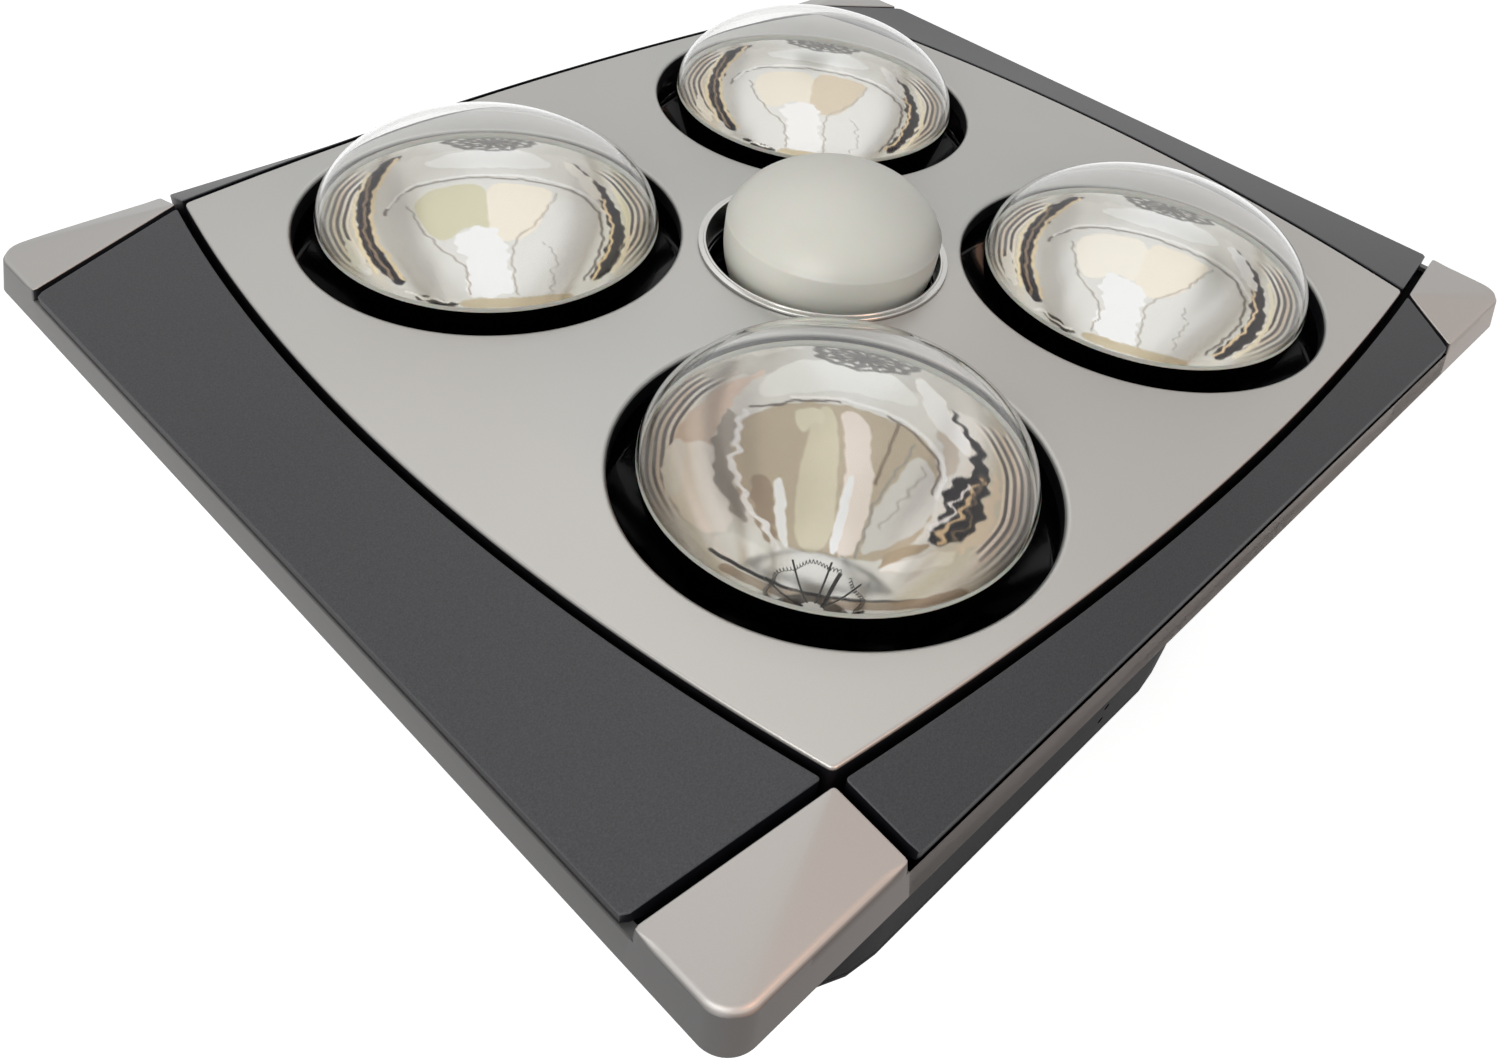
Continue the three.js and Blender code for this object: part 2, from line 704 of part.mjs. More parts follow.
function centrePanel() {
  const skin = solid(prism(pillow(0), trayTop + clearance, panelTop));
  const hollow = solid(prism(pillow(-panelSkirt), trayTop, panelTop - panelSkin));
  const lip = lampHoleRadius + lipRadius;
  const collar = turned([
    [lampHoleRadius, panelTop - lampCollarDepth],
    [lampHoleRadius + lampCollarWall, panelTop - lampCollarDepth],
    [lampHoleRadius + lampCollarWall, panelTop - panelSkin / 2],
    [lampHoleRadius, panelTop - panelSkin / 2],
  ], lampSteps, true);
  const hole = turned([
    [0, trayTop], [lampHoleRadius, trayTop], [lampHoleRadius, panelTop - lipRadius],
    [lip, panelTop], [lip, panelTop + overrun], [0, panelTop + overrun],
  ], lampSteps);
  const plate = joined(cut(skin, hollow), ...fourCorners.map(([, x, y]) => solid(atLamp(collar, x, y))));
  const lamps = fourCorners.map(([, x, y]) => solid(atLamp(hole, x, y)));
  const centreHole = disc(ringInnerRadius + ringWall + clearance, trayTop, panelTop + overrun, lampSteps);
  return shaped(cut(plate, ...lamps, solid(centreHole)));
}

place('centre_panel', centrePanel(), materials.satin);

function lightRing() {
  const underside = panelTop + clearance;
  const top = panelTop + ringProud;
  return turned([
    [ringInnerRadius, panelTop - ringDepth],
    [ringInnerRadius + ringWall, panelTop - ringDepth],
    [ringInnerRadius + ringWall, underside],
    [ringOuterRadius, underside],
    [ringOuterRadius, top - ringRound],
    [ringOuterRadius - ringRound, top],
    [ringInnerRadius + ringRound, top],
    [ringInnerRadius, top - ringRound],
  ], lampSteps, true);
}

place('light_ring', weld(lightRing()), materials.bright);

// The tray carries every panel of the fascia and stands on the deck plate by four bosses.
function fasciaTray() {
  const plate = solid(envelope(rimWall + clearance, trayBottom, trayTop));
  const boss = disc(trayBossRadius, deckTop + clearance, trayTop - overrun);
  const bosses = fourSides.map(([, x, y]) =>
    solid(boss.clone().translate(x * trayBossReach, y * trayBossReach, 0)));
  const holeOver = (radius) =>
    disc(radius + clearance * 2, trayBottom - overrun, trayTop + overrun, lampSteps);
  const lampHole = holeOver(wellCollarRadius);
  const centreHole = holeOver(centreWellCollarRadius);
  const holes = fourCorners.map(([, x, y]) => solid(atLamp(lampHole, x, y)));
  return shaped(cut(joined(plate, ...bosses), ...holes, solid(centreHole)));
}

place('fascia_tray', fasciaTray(), materials.matteBlack);

// A strip of spring steel folded into a narrow V that snaps through a slot in the deck plate.
function clipOutline() {
  const top = trayBottom - clearance;
  const bulge = top - clipBulgeDepth;
  const tip = top - clipDepth;
  const outside = [[clipHeadWidth / 2, top], [-clipHeadWidth / 2, top]];
  const left = [
    [-clipHeadWidth / 2, top - clipSteel], [-clipThroat / 2, top - clipSteel], [-clipBulge / 2, bulge],
    [-clipSteel, tip], [clipSteel, tip], [clipBulge / 2, bulge], [clipThroat / 2, top - clipSteel],
    [clipHeadWidth / 2, top - clipSteel],
  ];
  return [...outside, ...left].map(([across, height]) => flat(across, height));
}

function fasciaClip() {
  const top = trayBottom - clearance - clipSteel;
  const bulge = trayBottom - clearance - clipBulgeDepth;
  const tip = trayBottom - clearance - clipDepth;
  const inside = [
    [-clipThroat / 2 + clipSteel, top - clipSteel],
    [-clipBulge / 2 + clipSteel, bulge],
    [0, tip + clipSteel * 3],
    [clipBulge / 2 - clipSteel, bulge],
    [clipThroat / 2 - clipSteel, top - clipSteel],
  ].map(([across, height]) => flat(across, height));
  const strip = solid(prismAlongY(clipOutline(), -clipWidth / 2, clipWidth / 2));
  return shaped(cut(strip, solid(prismAlongY(inside, -clipWidth, clipWidth))));
}

const clip = fasciaClip();
for (const [side, x, y] of fourSides) {
  const turnedClip = clip.clone().rotateZ(x === 0 ? 0 : Math.PI / 2);
  place(`fascia_clip_${side}`, turnedClip.translate(x * clipReach, y * clipReach, 0), materials.steel);
}

// Housing: a box open to the room, stepped out at its mouth, with a flange on the ceiling side.
function housingLevels(inset, low, high) {
  const step = mouthStep;
  const corner = housingCorner - inset;
  const level = (extra, height) =>
    [housingLength / 2 + extra - inset, housingWidth / 2 + extra - inset, corner + extra, height];
  return roundedLoft([level(0, low), level(0, mouthStepStart), level(step, mouthStepEnd), level(step, high)]);
}

// The deck plate's screws stand on the two long sides of the housing's flange.
function deckScrewHoles(low, high) {
  const hole = disc(deckScrewRadius + clearance, low - overrun, high + overrun, screwSteps);
  return fourCorners.map(([, x, y]) =>
    solid(hole.clone().translate(x * deckScrewSpread, y * deckScrewAcross, 0)));
}

function housing() {
  const flangeHalf = mouthStep + flangeWidth;
  const flange = roundedLoft([fasciaBottom, flangeTop].map((height) =>
    [housingLength / 2 + flangeHalf, housingWidth / 2 + flangeHalf, housingCorner + flangeHalf, height]));
  const shell = joined(solid(housingLevels(0, housingFoot, flangeTop)), solid(flange));
  const room = housingLevels(housingWall, housingFoot + housingWall, flangeTop + overrun);
  const foot = housingWall + footFlangeWidth;
  const footHole = roundedLoft([housingFoot - overrun, housingFoot + housingWall + overrun].map((height) =>
    [housingLength / 2 - foot, housingWidth / 2 - foot, housingCorner - foot, height]));
  const duct = block(wallInside - overrun, wallInside + housingWall + overrun,
    outletBottom + ductHoleInset, outletTop - ductHoleInset,
    scrollBase + scrollWall + ductHoleInset, scrollTop - scrollWall - ductHoleInset);
  const slots = fourCorners.map(([, x, y]) => {
    const half = flat(fixingSlotWidth / 2, fixingSlotLength / 2);
    const slot = block(-half.x, half.x, -half.y, half.y, fasciaBottom - overrun, flangeTop + overrun);
    return solid(slot.translate(x * fixingSlotAcross, y * fixingSlotSpread, 0));
  });
  const screwHoles = deckScrewHoles(fasciaBottom, flangeTop);
  const wires = rodAlongX(boxWireHoleRadius, -overrun, housingWall + overrun)
    .translate(-wallInside - housingWall, 0, (boxLow + boxHigh) / 2);
  const pierced = piercedHoleHeights.map((height) => solid(
    disc(piercedHoleRadius, -overrun, housingWall + overrun).rotateX(Math.PI / 2)
      .translate(piercedHoleAcross, -housingWidth / 2 + housingWall, height)));
  return shaped(cut(shell, solid(room), solid(footHole), solid(duct), solid(wires), ...pierced, ...slots,
    ...screwHoles));
}

place('housing', housing(), materials.matteBlack);

function rearCover() {
  const half = { x: housingLength / 2, y: housingWidth / 2 };
  const tray = roundedLoft([0, rearCoverDepth].map((height) => [half.x, half.y, housingCorner, height]));
  const inset = rearCoverWall;
  const hollow = roundedLoft([rearCoverWall, rearCoverDepth + overrun].map((height) =>
    [half.x - inset, half.y - inset, housingCorner - inset, height]));
  return shaped(cut(solid(tray), solid(hollow)));
}

place('rear_cover', rearCover(), materials.matteBlack);

// Deck plate across the housing's mouth, with a hole for each well and a slot for each clip.
function deckPlate() {
  const reach = mouthStep + deckLap;
  const plate = roundedLoft([deckBottom, deckTop].map((height) =>
    [housingLength / 2 + reach, housingWidth / 2 + reach, housingCorner + reach, height]));
  const holeOver = (radius) =>
    disc(radius + clearance * 2, deckBottom - overrun, deckTop + overrun, lampSteps);
  const lampHole = holeOver(wellConeTopRadius);
  const centreHole = holeOver(centreWellConeTopRadius);
  const holes = fourCorners.map(([, x, y]) => solid(atLamp(lampHole, x, y)));
  const slotHalf = flat(clipBulge / 2 + clearance * 2, clipWidth / 2 + clearance * 2);
  const slots = fourSides.map(([, x, y]) => {
    const half = x === 0 ? slotHalf : swapped(slotHalf);
    const slot = block(-half.x, half.x, -half.y, half.y, deckBottom - overrun, deckTop + overrun);
    return solid(slot.translate(x * clipReach, y * clipReach, 0));
  });
  const screwHoles = deckScrewHoles(deckBottom, deckTop);
  return shaped(cut(solid(plate), ...holes, solid(centreHole), ...slots, ...screwHoles));
}

place('deck_plate', deckPlate(), materials.matteBlack);

// Wells: a collar above the deck plate, a flange on it and a slotted cone below it.
function well(size) {
  const floorTop = size.floorHeight + wellWall;
  const profile = [
    [size.floorHole, size.floorHeight],
    [size.floorRadius, size.floorHeight],
    [size.coneTop, wellFlangeBottom],
    [size.flange, wellFlangeBottom],
    [size.flange, wellFlangeTop],
    [size.collar, wellFlangeTop],
    [size.collar, size.top],
    [size.collar - wellWall, size.top],
    [size.coneTop - wellWall, wellFlangeBottom],
    [size.floorRadius - wellWall, floorTop],
    [size.floorHole, floorTop],
  ];
  return solid(turned(profile, lampSteps, true));
}

const capHole = capRadius + holderWall + clearance;
function lampWell() {
  const cup = well({
    floorHole: capHole,
    floorHeight: wellFloorHeight,
    floorRadius: wellFloorRadius,
    coneTop: wellConeTopRadius,
    flange: wellFlangeRadius,
    collar: wellCollarRadius,
    top: wellTop,
  });
  const slots = [];
  for (let i = 0; i < wellSlotCount; i++) {
    const half = wellSlotWidth / 2;
    const slot = block(wellFloorRadius - half, wellConeTopRadius, -half, half, wellSlotLow, wellSlotHigh);
    slots.push(solid(slot.rotateZ(degrees((360 * i) / wellSlotCount))));
  }
  return shaped(cut(cup, ...slots));
}

const centreWell = well({
  floorHole: capHole,
  floorHeight: centreWellFloorHeight,
  floorRadius: centreWellFloorRadius,
  coneTop: centreWellConeTopRadius,
  flange: centreWellFlangeRadius,
  collar: centreWellCollarRadius,
  top: centreWellTop,
});

const lampWellShape = lampWell();
for (const [corner, x, y] of fourCorners) {
  place(`lamp_well_${corner}`, atLamp(lampWellShape, x, y), materials.glossBlack);
}
place('centre_well', shaped(centreWell), materials.glossBlack);

// A quarter ellipse from the rim to the top, at shares of a right angle.
function domeOver(radius, rise, base, angleShares) {
  return angleShares.map((share) => {
    const angle = degrees(90) * share;
    return [share === 1 ? 0 : radius * Math.cos(angle), base + rise * Math.sin(angle)];
  });
}

// Heat lamp glass: a dome over a mirrored bowl that narrows to the neck.
function bowlRadius(share, rim) {
  return neckRadius + (rim - neckRadius) * (1 - share ** reflectorFlare) ** reflectorWaist;
}

function heatLampGlass() {
  const neckBottom = capTop + clearance;
  const side = (wall, bowlShares, domeShares) => [
    [neckEndRadius - wall, neckBottom],
    [neckRadius - wall, neckBottom + neckTaper],
    ...bowlShares.map((share) => [bowlRadius(share, glassRadius) - wall, equator - reflectorDepth * share]),
    ...domeOver(glassRadius - wall, domeRise - wall, equator, domeShares),
  ];
  const outside = side(0, heatBowlShares, heatDomeShares);
  const inside = side(glassWall, heatBowlInsideShares, heatDomeInsideShares);
  return turned([...outside, ...inside.reverse()], lampSteps, true);
}

function screwCap(bottom, top) {
  return turned([
    [0, bottom], [contactRadius, bottom], [contactRadius, bottom + contactHeight],
    [capRadius, bottom + capShoulder], [capRadius, top], [0, top],
  ], smallSteps);
}

// The filament is a ring held over the stem by thin radial wires and two stout leads.
function bar(from, to, width) {
  const length = from.distanceTo(to);
  const rod = new THREE.CylinderGeometry(width / 2, width / 2, length, wireSides).translate(0, length / 2, 0);
  const ahead = to.clone().sub(from).normalize();
  const turn = new THREE.Quaternion().setFromUnitVectors(new THREE.Vector3(0, 1, 0), ahead);
  return rod.applyQuaternion(turn).translate(from.x, from.y, from.z);
}

function filament() {
  const height = panelTop - filamentDrop;
  const stemTop = height - filamentRadius / 2;
  const foot = capTop + clearance;
  const stem = solid(turned([
    [0, foot],
    [stemFootRadius, foot],
    [stemRadius, foot + stemFootHeight],
    [stemRadius, stemTop],
    [0, stemTop],
  ], smallSteps / 2));
  const loop = new THREE.TorusGeometry(filamentRadius, filamentWire, wireSides, supportCount * 2);
  const ring = solid(loop.translate(0, 0, height));
  const wires = [];
  for (let i = 0; i < supportCount; i++) {
    const angle = degrees((360 * i) / supportCount);
    const tip = new THREE.Vector3(filamentRadius, 0, height).applyAxisAngle(upward, angle);
    const root = new THREE.Vector3(0, 0, stemTop - stemRadius / 2);
    wires.push(solid(bar(root, tip, i < 2 ? leadWire * 2 : leadWire)));
  }
  return shaped(joined(stem, ring, ...wires));
}

const heatGlassShape = weld(heatLampGlass());
const heatCapShape = weld(screwCap(capBottom, capTop));
const filamentShape = filament();
for (const [corner, x, y] of fourCorners) {
  place(`heat_lamp_glass_${corner}`, atLamp(heatGlassShape, x, y), materials.glass);
  place(`heat_lamp_cap_${corner}`, atLamp(heatCapShape, x, y), materials.brass);
  place(`filament_${corner}`, atLamp(filamentShape, x, y), materials.tungsten);
}

// Centre lamp: an opal mushroom, flat-topped with a rounded shoulder.
function opalGlass() {
  const middle = panelTop + opalEquatorRise;
  const rise = opalRise - opalEquatorRise;
  const side = (wall, bodyShares, domeShares) => [
    [neckEndRadius - wall, opalCapTop + clearance],
    [opalNeckRadius - wall, middle - opalBodyDepth],
    ...bodyShares.map((share) => {
      const flare = (opalRadius - opalNeckRadius) * Math.cos(degrees(90) * share);
      return [opalNeckRadius + flare - wall, middle - opalBodyDepth * share];
    }),
    ...domeOver(opalRadius - wall, rise - wall, middle, domeShares),
  ];
  const outside = side(0, opalBodyShares, opalDomeShares);
  const inside = side(glassWall, opalBodyInsideShares, opalDomeInsideShares);
  return turned([...outside, ...inside.reverse()], lampSteps, true);
}

place('opal_lamp_glass', weld(opalGlass()), materials.opal);
place('opal_lamp_cap', weld(screwCap(opalCapBottom, opalCapTop)), materials.brass);

// Lamp holders hang from the wells' floors and take the caps.
function lampHolder(top, capEnd) {
  const bore = capRadius + holderWall;
  return turned([
    [0, capEnd - holderFloor], [holderRadius, capEnd - holderFloor], [holderRadius, top - holderFlange],
    [holderFlangeRadius, top - holderFlange], [holderFlangeRadius, top], [bore, top],
    [bore, capEnd - clearance], [0, capEnd - clearance],
  ], smallSteps);
}

const heatHolderShape = weld(lampHolder(wellFloorHeight - clearance, capBottom));
for (const [corner, x, y] of fourCorners) {
  place(`lamp_holder_${corner}`, atLamp(heatHolderShape, x, y), materials.ceramic);
}
const centreHolderShape = weld(lampHolder(centreWellFloorHeight - clearance, opalCapBottom));
place('lamp_holder_centre', centreHolderShape, materials.ceramic);

// Fan scroll: the air passage widens clockwise from the tongue to the outlet on +X.
function scrollOutline(wall, end) {
  const sweep = tongueAngle + 270;
  const points = [];
  for (let step = wall > 0 ? 1 : 0; step <= scrollSteps; step++) {
    const share = step / scrollSteps;
    const radius = scrollStartRadius + (scrollEndRadius - scrollStartRadius) * share + wall;
    const angle = degrees(tongueAngle - sweep * share);
    points.push(flat(radius * Math.cos(angle), fanOffset + radius * Math.sin(angle)));
  }
  const top = fanOffset + scrollEndRadius + wall;
  const tongue = fanOffset + scrollStartRadius * Math.sin(degrees(tongueAngle));
  points.push(flat(outletFlareStart, top), flat(end, outletTop + wall), flat(end, outletBottom - wall));
  if (wall > 0) points.push(flat(scrollStartRadius + wall, tongue - wall * 2));
  return points.reverse();
}

const outletEnd = wallInside - clearance;
const fanAxis = (geometry) => geometry.translate(0, fanOffset, 0);

function fanScroll() {
  const shell = solid(prism(scrollOutline(scrollWall, outletEnd), scrollBase, scrollTop - scrollWall));
  const passage = solid(prism(scrollOutline(0, outletEnd + overrun), scrollBase + scrollWall, scrollTop));
  const shaftHole = fanAxis(disc(motorBossRadius + clearance, scrollBase - overrun, scrollTop, lampSteps));
  return shaped(cut(shell, passage, solid(shaftHole)));
}

function scrollCover() {
  const low = scrollTop - scrollWall + clearance;
  const high = low + scrollWall;
  const plate = solid(prism(scrollOutline(scrollWall, outletEnd), low, high));
  const lipTop = high + inletLipHeight;
  const lip = fanAxis(turned([
    [inletRadius, low],
    [inletRadius + inletLipWall, low],
    [inletRadius + inletLipFlare + inletLipWall, lipTop],
    [inletRadius + inletLipFlare, lipTop],
  ], lampSteps, true));
  const hole = fanAxis(disc(inletRadius + inletLipWall / 2, low - overrun, high + overrun, lampSteps));
  return shaped(joined(cut(plate, solid(hole)), solid(lip)));
}

place('fan_scroll', fanScroll(), materials.paleGrey);
place('scroll_cover', scrollCover(), materials.paleGrey);

// Impeller: forward-curved blades between a back plate and a rim ring.
function bladeOutline() {
  const line = (side) => {
    const points = [];
    for (let step = 0; step <= bladeSteps; step++) {
      const share = step / bladeSteps;
      const radius = fanEyeRadius + (fanRadius - fanRing / 4 - fanEyeRadius) * share;
      const angle = fanBladeLean * share * share;
      const point = flat(radius * Math.cos(angle), -radius * Math.sin(angle));
      points.push(point.add(flat(0, (side * fanBladeThickness) / 2)));
    }
    return points;
  };
  return [...line(-1), ...line(1).reverse()];
}

function impeller() {
  const plateTop = impellerBottom + fanPlate;
  const hubTop = impellerBottom + fanHubHeight;
  const hub = solid(turned([
    [shaftRadius + clearance, impellerBottom], [fanRadius, impellerBottom], [fanRadius, plateTop],
    [fanHubRadius, plateTop], [fanHubRadius, hubTop], [shaftRadius + clearance, hubTop],
  ], lampSteps, true));
  const ring = solid(turned([
    [fanRadius - fanRing, impellerTop - fanRing], [fanRadius, impellerTop - fanRing],
    [fanRadius, impellerTop], [fanRadius - fanRing, impellerTop],
  ], lampSteps, true));
  const blade = prism(bladeOutline(), plateTop - fanPlate / 2, impellerTop - fanRing / 2);
  const blades = [];
  for (let i = 0; i < fanBladeCount; i++) {
    blades.push(solid(blade.clone().rotateZ(degrees((360 * i) / fanBladeCount))));
  }
  return fanAxis(shaped(joined(hub, ring, ...blades)));
}

place('impeller', impeller(), materials.matteBlack);
const shaftTop = impellerBottom + fanHubHeight + shaftRadius;
place('motor_shaft', fanAxis(weld(disc(shaftRadius, shaftFoot, shaftTop))), materials.steel);

// Motor: a pressed can between the rear cover and the scroll, with cooling ribs on its side.
function motor() {
  const bottom = rearCoverWall + clearance;
  const top = scrollBase - clearance;
  const bossTop = top + motorBossHeight;
  const can = solid(turned([
    [0, bottom],
    [motorRadius - motorEdge, bottom],
    [motorRadius, bottom + motorEdge],
    [motorRadius, top - motorEdge],
    [motorRadius - motorEdge, top],
    [motorBossRadius, top],
    [motorBossRadius, bossTop],
    [0, bossTop],
  ], lampSteps));
  const ribs = [];
  const ribHalf = motorFinWidth / 2;
  for (let i = 0; i < motorFinCount; i++) {
    const rib = block(motorRadius - motorEdge, motorRadius + motorFinReach, -ribHalf, ribHalf, bottom, top);
    ribs.push(solid(rib.rotateZ(degrees((360 * (i + 1 / 2)) / motorFinCount))));
  }
  const bearing = disc(shaftRadius + clearance, shaftFoot - clearance, bossTop + overrun);
  return fanAxis(shaped(cut(joined(can, ...ribs), solid(bearing))));
}

place('fan_motor', motor(), materials.steel);

// Duct spigot on the +X wall. Its profile is (radius, distance from the housing wall).
const atDuct = (geometry) => geometry.translate(housingLength / 2 + clearance, ductAcross, ductHeight);

function ductSpigot() {
  const inner = spigotRadius - spigotWall;
  const profile = [
    [inner, 0], [spigotFlangeRadius, 0], [spigotFlangeRadius, spigotFlange], [spigotRadius, spigotFlange],
    [spigotRadius, spigotBeadPlace - spigotBead], [spigotRadius + spigotBead, spigotBeadPlace],
    [spigotRadius, spigotBeadPlace + spigotBead], [spigotRadius, spigotLength], [inner, spigotLength],
    [inner, stopRingEnd], [inner - stopRingReach, stopRingEnd], [inner - stopRingReach, stopRingStart],
    [inner, stopRingStart],
  ];
  const pinHole = disc(pinRadius + clearance, -spigotRadius - overrun, spigotRadius + overrun);
  const collar = solid(turnedAlongX(profile, lampSteps, true));
  return atDuct(shaped(cut(collar, solid(pinHole.translate(pinPlace, 0, 0)))));
}

place('duct_spigot', ductSpigot(), materials.matteBlack);

const pinEnd = spigotRadius + spigotBead / 2;
const pin = weld(disc(pinRadius, -pinEnd, pinEnd)).translate(pinPlace, 0, 0);
place('damper_pin', atDuct(pin), materials.steel);

// Each blade is half a disc with two knuckles on the pin. The other blade's knuckles fit between.
// A notch in the middle of the straight edge leaves room for the springs.
function damperBlade(side, knuckleSlots) {
  const rootReach = Math.acos(bladeRoot / bladeRadius);
  const outline = [];
  for (let step = 0; step <= damperSteps; step++) {
    const angle = rootReach * ((2 * step) / damperSteps - 1);
    outline.push(flat(bladeRadius * Math.cos(angle), bladeRadius * Math.sin(angle)));
  }
  const half = bladeThickness / 2;
  const plate = solid(prismAlongX(outline, -half, half));
  const notch = solid(block(-bladeThickness, bladeThickness, 0, bladeNotch, -springRoom, springRoom));
  const knuckles = knuckleSlots.map((slot) => slot * knuckleStep).flatMap((start) => [
    solid(disc(knuckleRadius, start, start + knuckleLength)),
    solid(block(-half, half, knuckleRadius - half, bladeRoot + half, start, start + knuckleLength)),
  ]);
  const bore = solid(disc(pinRadius + clearance, -bladeRadius, bladeRadius));
  const whole = shaped(cut(joined(cut(plate, notch), ...knuckles), bore));
  return atDuct(turnedOutward(whole.scale(1, side, 1)).translate(pinPlace, 0, 0));
}

const springHeight = springTurns * springPitch;
const springRoom = springHeight + springWire + knuckleGap * 2;
place('damper_blade_right', damperBlade(1, rightKnuckleSlots), materials.matteBlack);
place('damper_blade_left', damperBlade(-1, leftKnuckleSlots), materials.matteBlack);

// Torsion springs: a coil round the pin and a straight leg that ends on the blade's face.
function springPath() {
  const points = [];
  const steps = springTurns * springStepsPerTurn;
  for (let step = 0; step <= steps; step++) {
    const angle = degrees((360 * step) / springStepsPerTurn);
    const height = (springPitch * step) / springStepsPerTurn;
    points.push(new THREE.Vector3(springRadius * Math.cos(angle), springRadius * Math.sin(angle), height));
  }
  const legEnd = bladeThickness / 2 + clearance + springWire / 2;
  points.push(new THREE.Vector3(legEnd, springLeg, springHeight));
  return points;
}

// The least gap between turns that are at least half a turn apart, wire to wire.
function leastGap(points) {
  let least = Infinity;
  for (let i = 0; i < points.length; i++) {
    for (let j = i + springStepsPerTurn / 2; j < points.length - 1; j++) {
      least = Math.min(least, points[i].distanceTo(points[j]) - springWire);
    }
  }
  return least;
}

function damperSpring(side, start) {
  const path = springPath();
  const rings = path.map((point, i) => {
    const before = path[Math.max(i - 1, 0)];
    const after = path[Math.min(i + 1, path.length - 1)];
    const ahead = after.clone().sub(before).normalize();
    const outward = new THREE.Vector3(point.x, point.y, 0).normalize();
    const across = new THREE.Vector3().crossVectors(ahead, outward).normalize();
    const out = new THREE.Vector3().crossVectors(across, ahead);
    const ring = [];
    for (let k = 0; k < springSides; k++) {
      const angle = degrees((360 * k) / springSides);
      const offset = out.clone().multiplyScalar(Math.cos(angle)).addScaledVector(across, Math.sin(angle));
      ring.push(point.clone().addScaledVector(offset, springWire / 2));
    }
    return ring;
  });
  const section = rings[0].map((_, k) => {
    const angle = degrees((360 * k) / springSides);
    return flat(Math.cos(angle), Math.sin(angle));
  });
  const coil = weld(loft(rings, section)).scale(1, side, 1);
  return atDuct(turnedOutward(coil).translate(pinPlace, 0, start));
}

console.log(`least gap in each damper spring: ${leastGap(springPath()).toFixed(2)} mm`);
place('damper_spring_right', damperSpring(1, knuckleGap), materials.steel);
place('damper_spring_left', damperSpring(-1, -springHeight - knuckleGap), materials.steel);

// Terminal box, open towards -X and closed by its cover.
const boxBack = -housingLength / 2 - clearance;
const boxFront = boxBack - boxDepth;

function terminalBox() {
  const half = boxWidth / 2;
  const shell = solid(block(boxFront, boxBack, -half, half, boxLow, boxHigh));
  const room = solid(block(boxFront - overrun, boxBack - boxWall, -half + boxWall, half - boxWall,
    boxLow + boxWall, boxHigh - boxWall));
  const middle = (boxLow + boxHigh) / 2;
  const wires = rodAlongX(boxWireHoleRadius, -overrun, boxWall + overrun)
    .translate(boxBack - boxWall, 0, middle);
  const entry = disc(glandThreadRadius + clearance, -overrun, boxWall + overrun).rotateX(Math.PI / 2)
    .translate((boxFront + boxBack) / 2, -half + boxWall, middle);
  return shaped(cut(shell, room, solid(wires), solid(entry)));
}

place('terminal_box', terminalBox(), materials.matteBlack);
const coverBack = boxFront - clearance;
const coverFront = coverBack - boxCoverThickness;
const cover = block(coverFront, coverBack, -boxWidth / 2, boxWidth / 2, boxLow, boxHigh);
place('terminal_cover', weld(cover), materials.matteBlack);

// Terminal block: a stepped moulding on the box's back wall with a wire hole at each pole.
function terminalBlock() {
  const back = boxBack - boxWall - clearance;
  const foot = boxLow + boxWall + clearance;
  const half = blockLength / 2;
  const low = solid(block(back - blockHeight + blockStep, back, -half, half, foot, foot + blockWidth));
  const high = solid(block(back - blockHeight, back - blockStep, -half, half,
    foot + blockStep, foot + blockWidth - blockStep));
  const holes = [];
  for (let pole = 0; pole < blockPoleCount; pole++) {
    const across = (blockLength * (pole + 1 / 2)) / blockPoleCount - half;
    const hole = disc(blockHoleRadius, foot - overrun, foot + blockWidth + overrun, smallSteps / 2);
    holes.push(solid(hole.translate(back - blockHeight / 3, across, 0)));
  }
  return shaped(cut(joined(low, high), ...holes));
}

place('terminal_block', terminalBlock(), materials.ceramic);

function cableGland() {
  const nutTop = glandFlangeThickness + glandNutLength;
  const tail = -boxWall - glandFlangeThickness / 2;
  const profile = [
    [glandBore, tail],
    [glandThreadRadius, tail],
    [glandThreadRadius, clearance],
    [glandFlangeRadius, clearance],
    [glandFlangeRadius, glandFlangeThickness],
    [glandNutRadius, glandFlangeThickness],
    [glandNutRadius, nutTop],
    [glandDomeRadius, nutTop + glandDomeLength],
    [glandBore, nutTop + glandDomeLength],
  ];
  const middle = (boxLow + boxHigh) / 2;
  return weld(turned(profile, smallSteps, true)).rotateX(Math.PI / 2)
    .translate((boxFront + boxBack) / 2, -boxWidth / 2, middle);
}

place('cable_gland', cableGland(), materials.matteBlack);

// Screws that fix the deck plate to the housing's flange.
const screwSeat = deckTop + clearance;
const screw = weld(turned([
  [0, screwSeat - deckScrewLength],
  [deckScrewRadius, screwSeat - deckScrewLength],
  [deckScrewRadius, screwSeat],
  [deckScrewHeadRadius, screwSeat],
  [deckScrewHeadRadius, screwSeat + deckScrewHeadHeight],
  [0, screwSeat + deckScrewHeadHeight],
], screwSteps));
for (const [corner, x, y] of fourCorners) {
  const set = screw.clone().translate(x * deckScrewSpread, y * deckScrewAcross, 0);
  place(`deck_screw_${corner}`, set, materials.steel);
}

export default heater;
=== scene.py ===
import json
import math

import bmesh
import bpy
import numpy as np
from mathutils import Matrix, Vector
from mathutils.geometry import tessellate_polygon

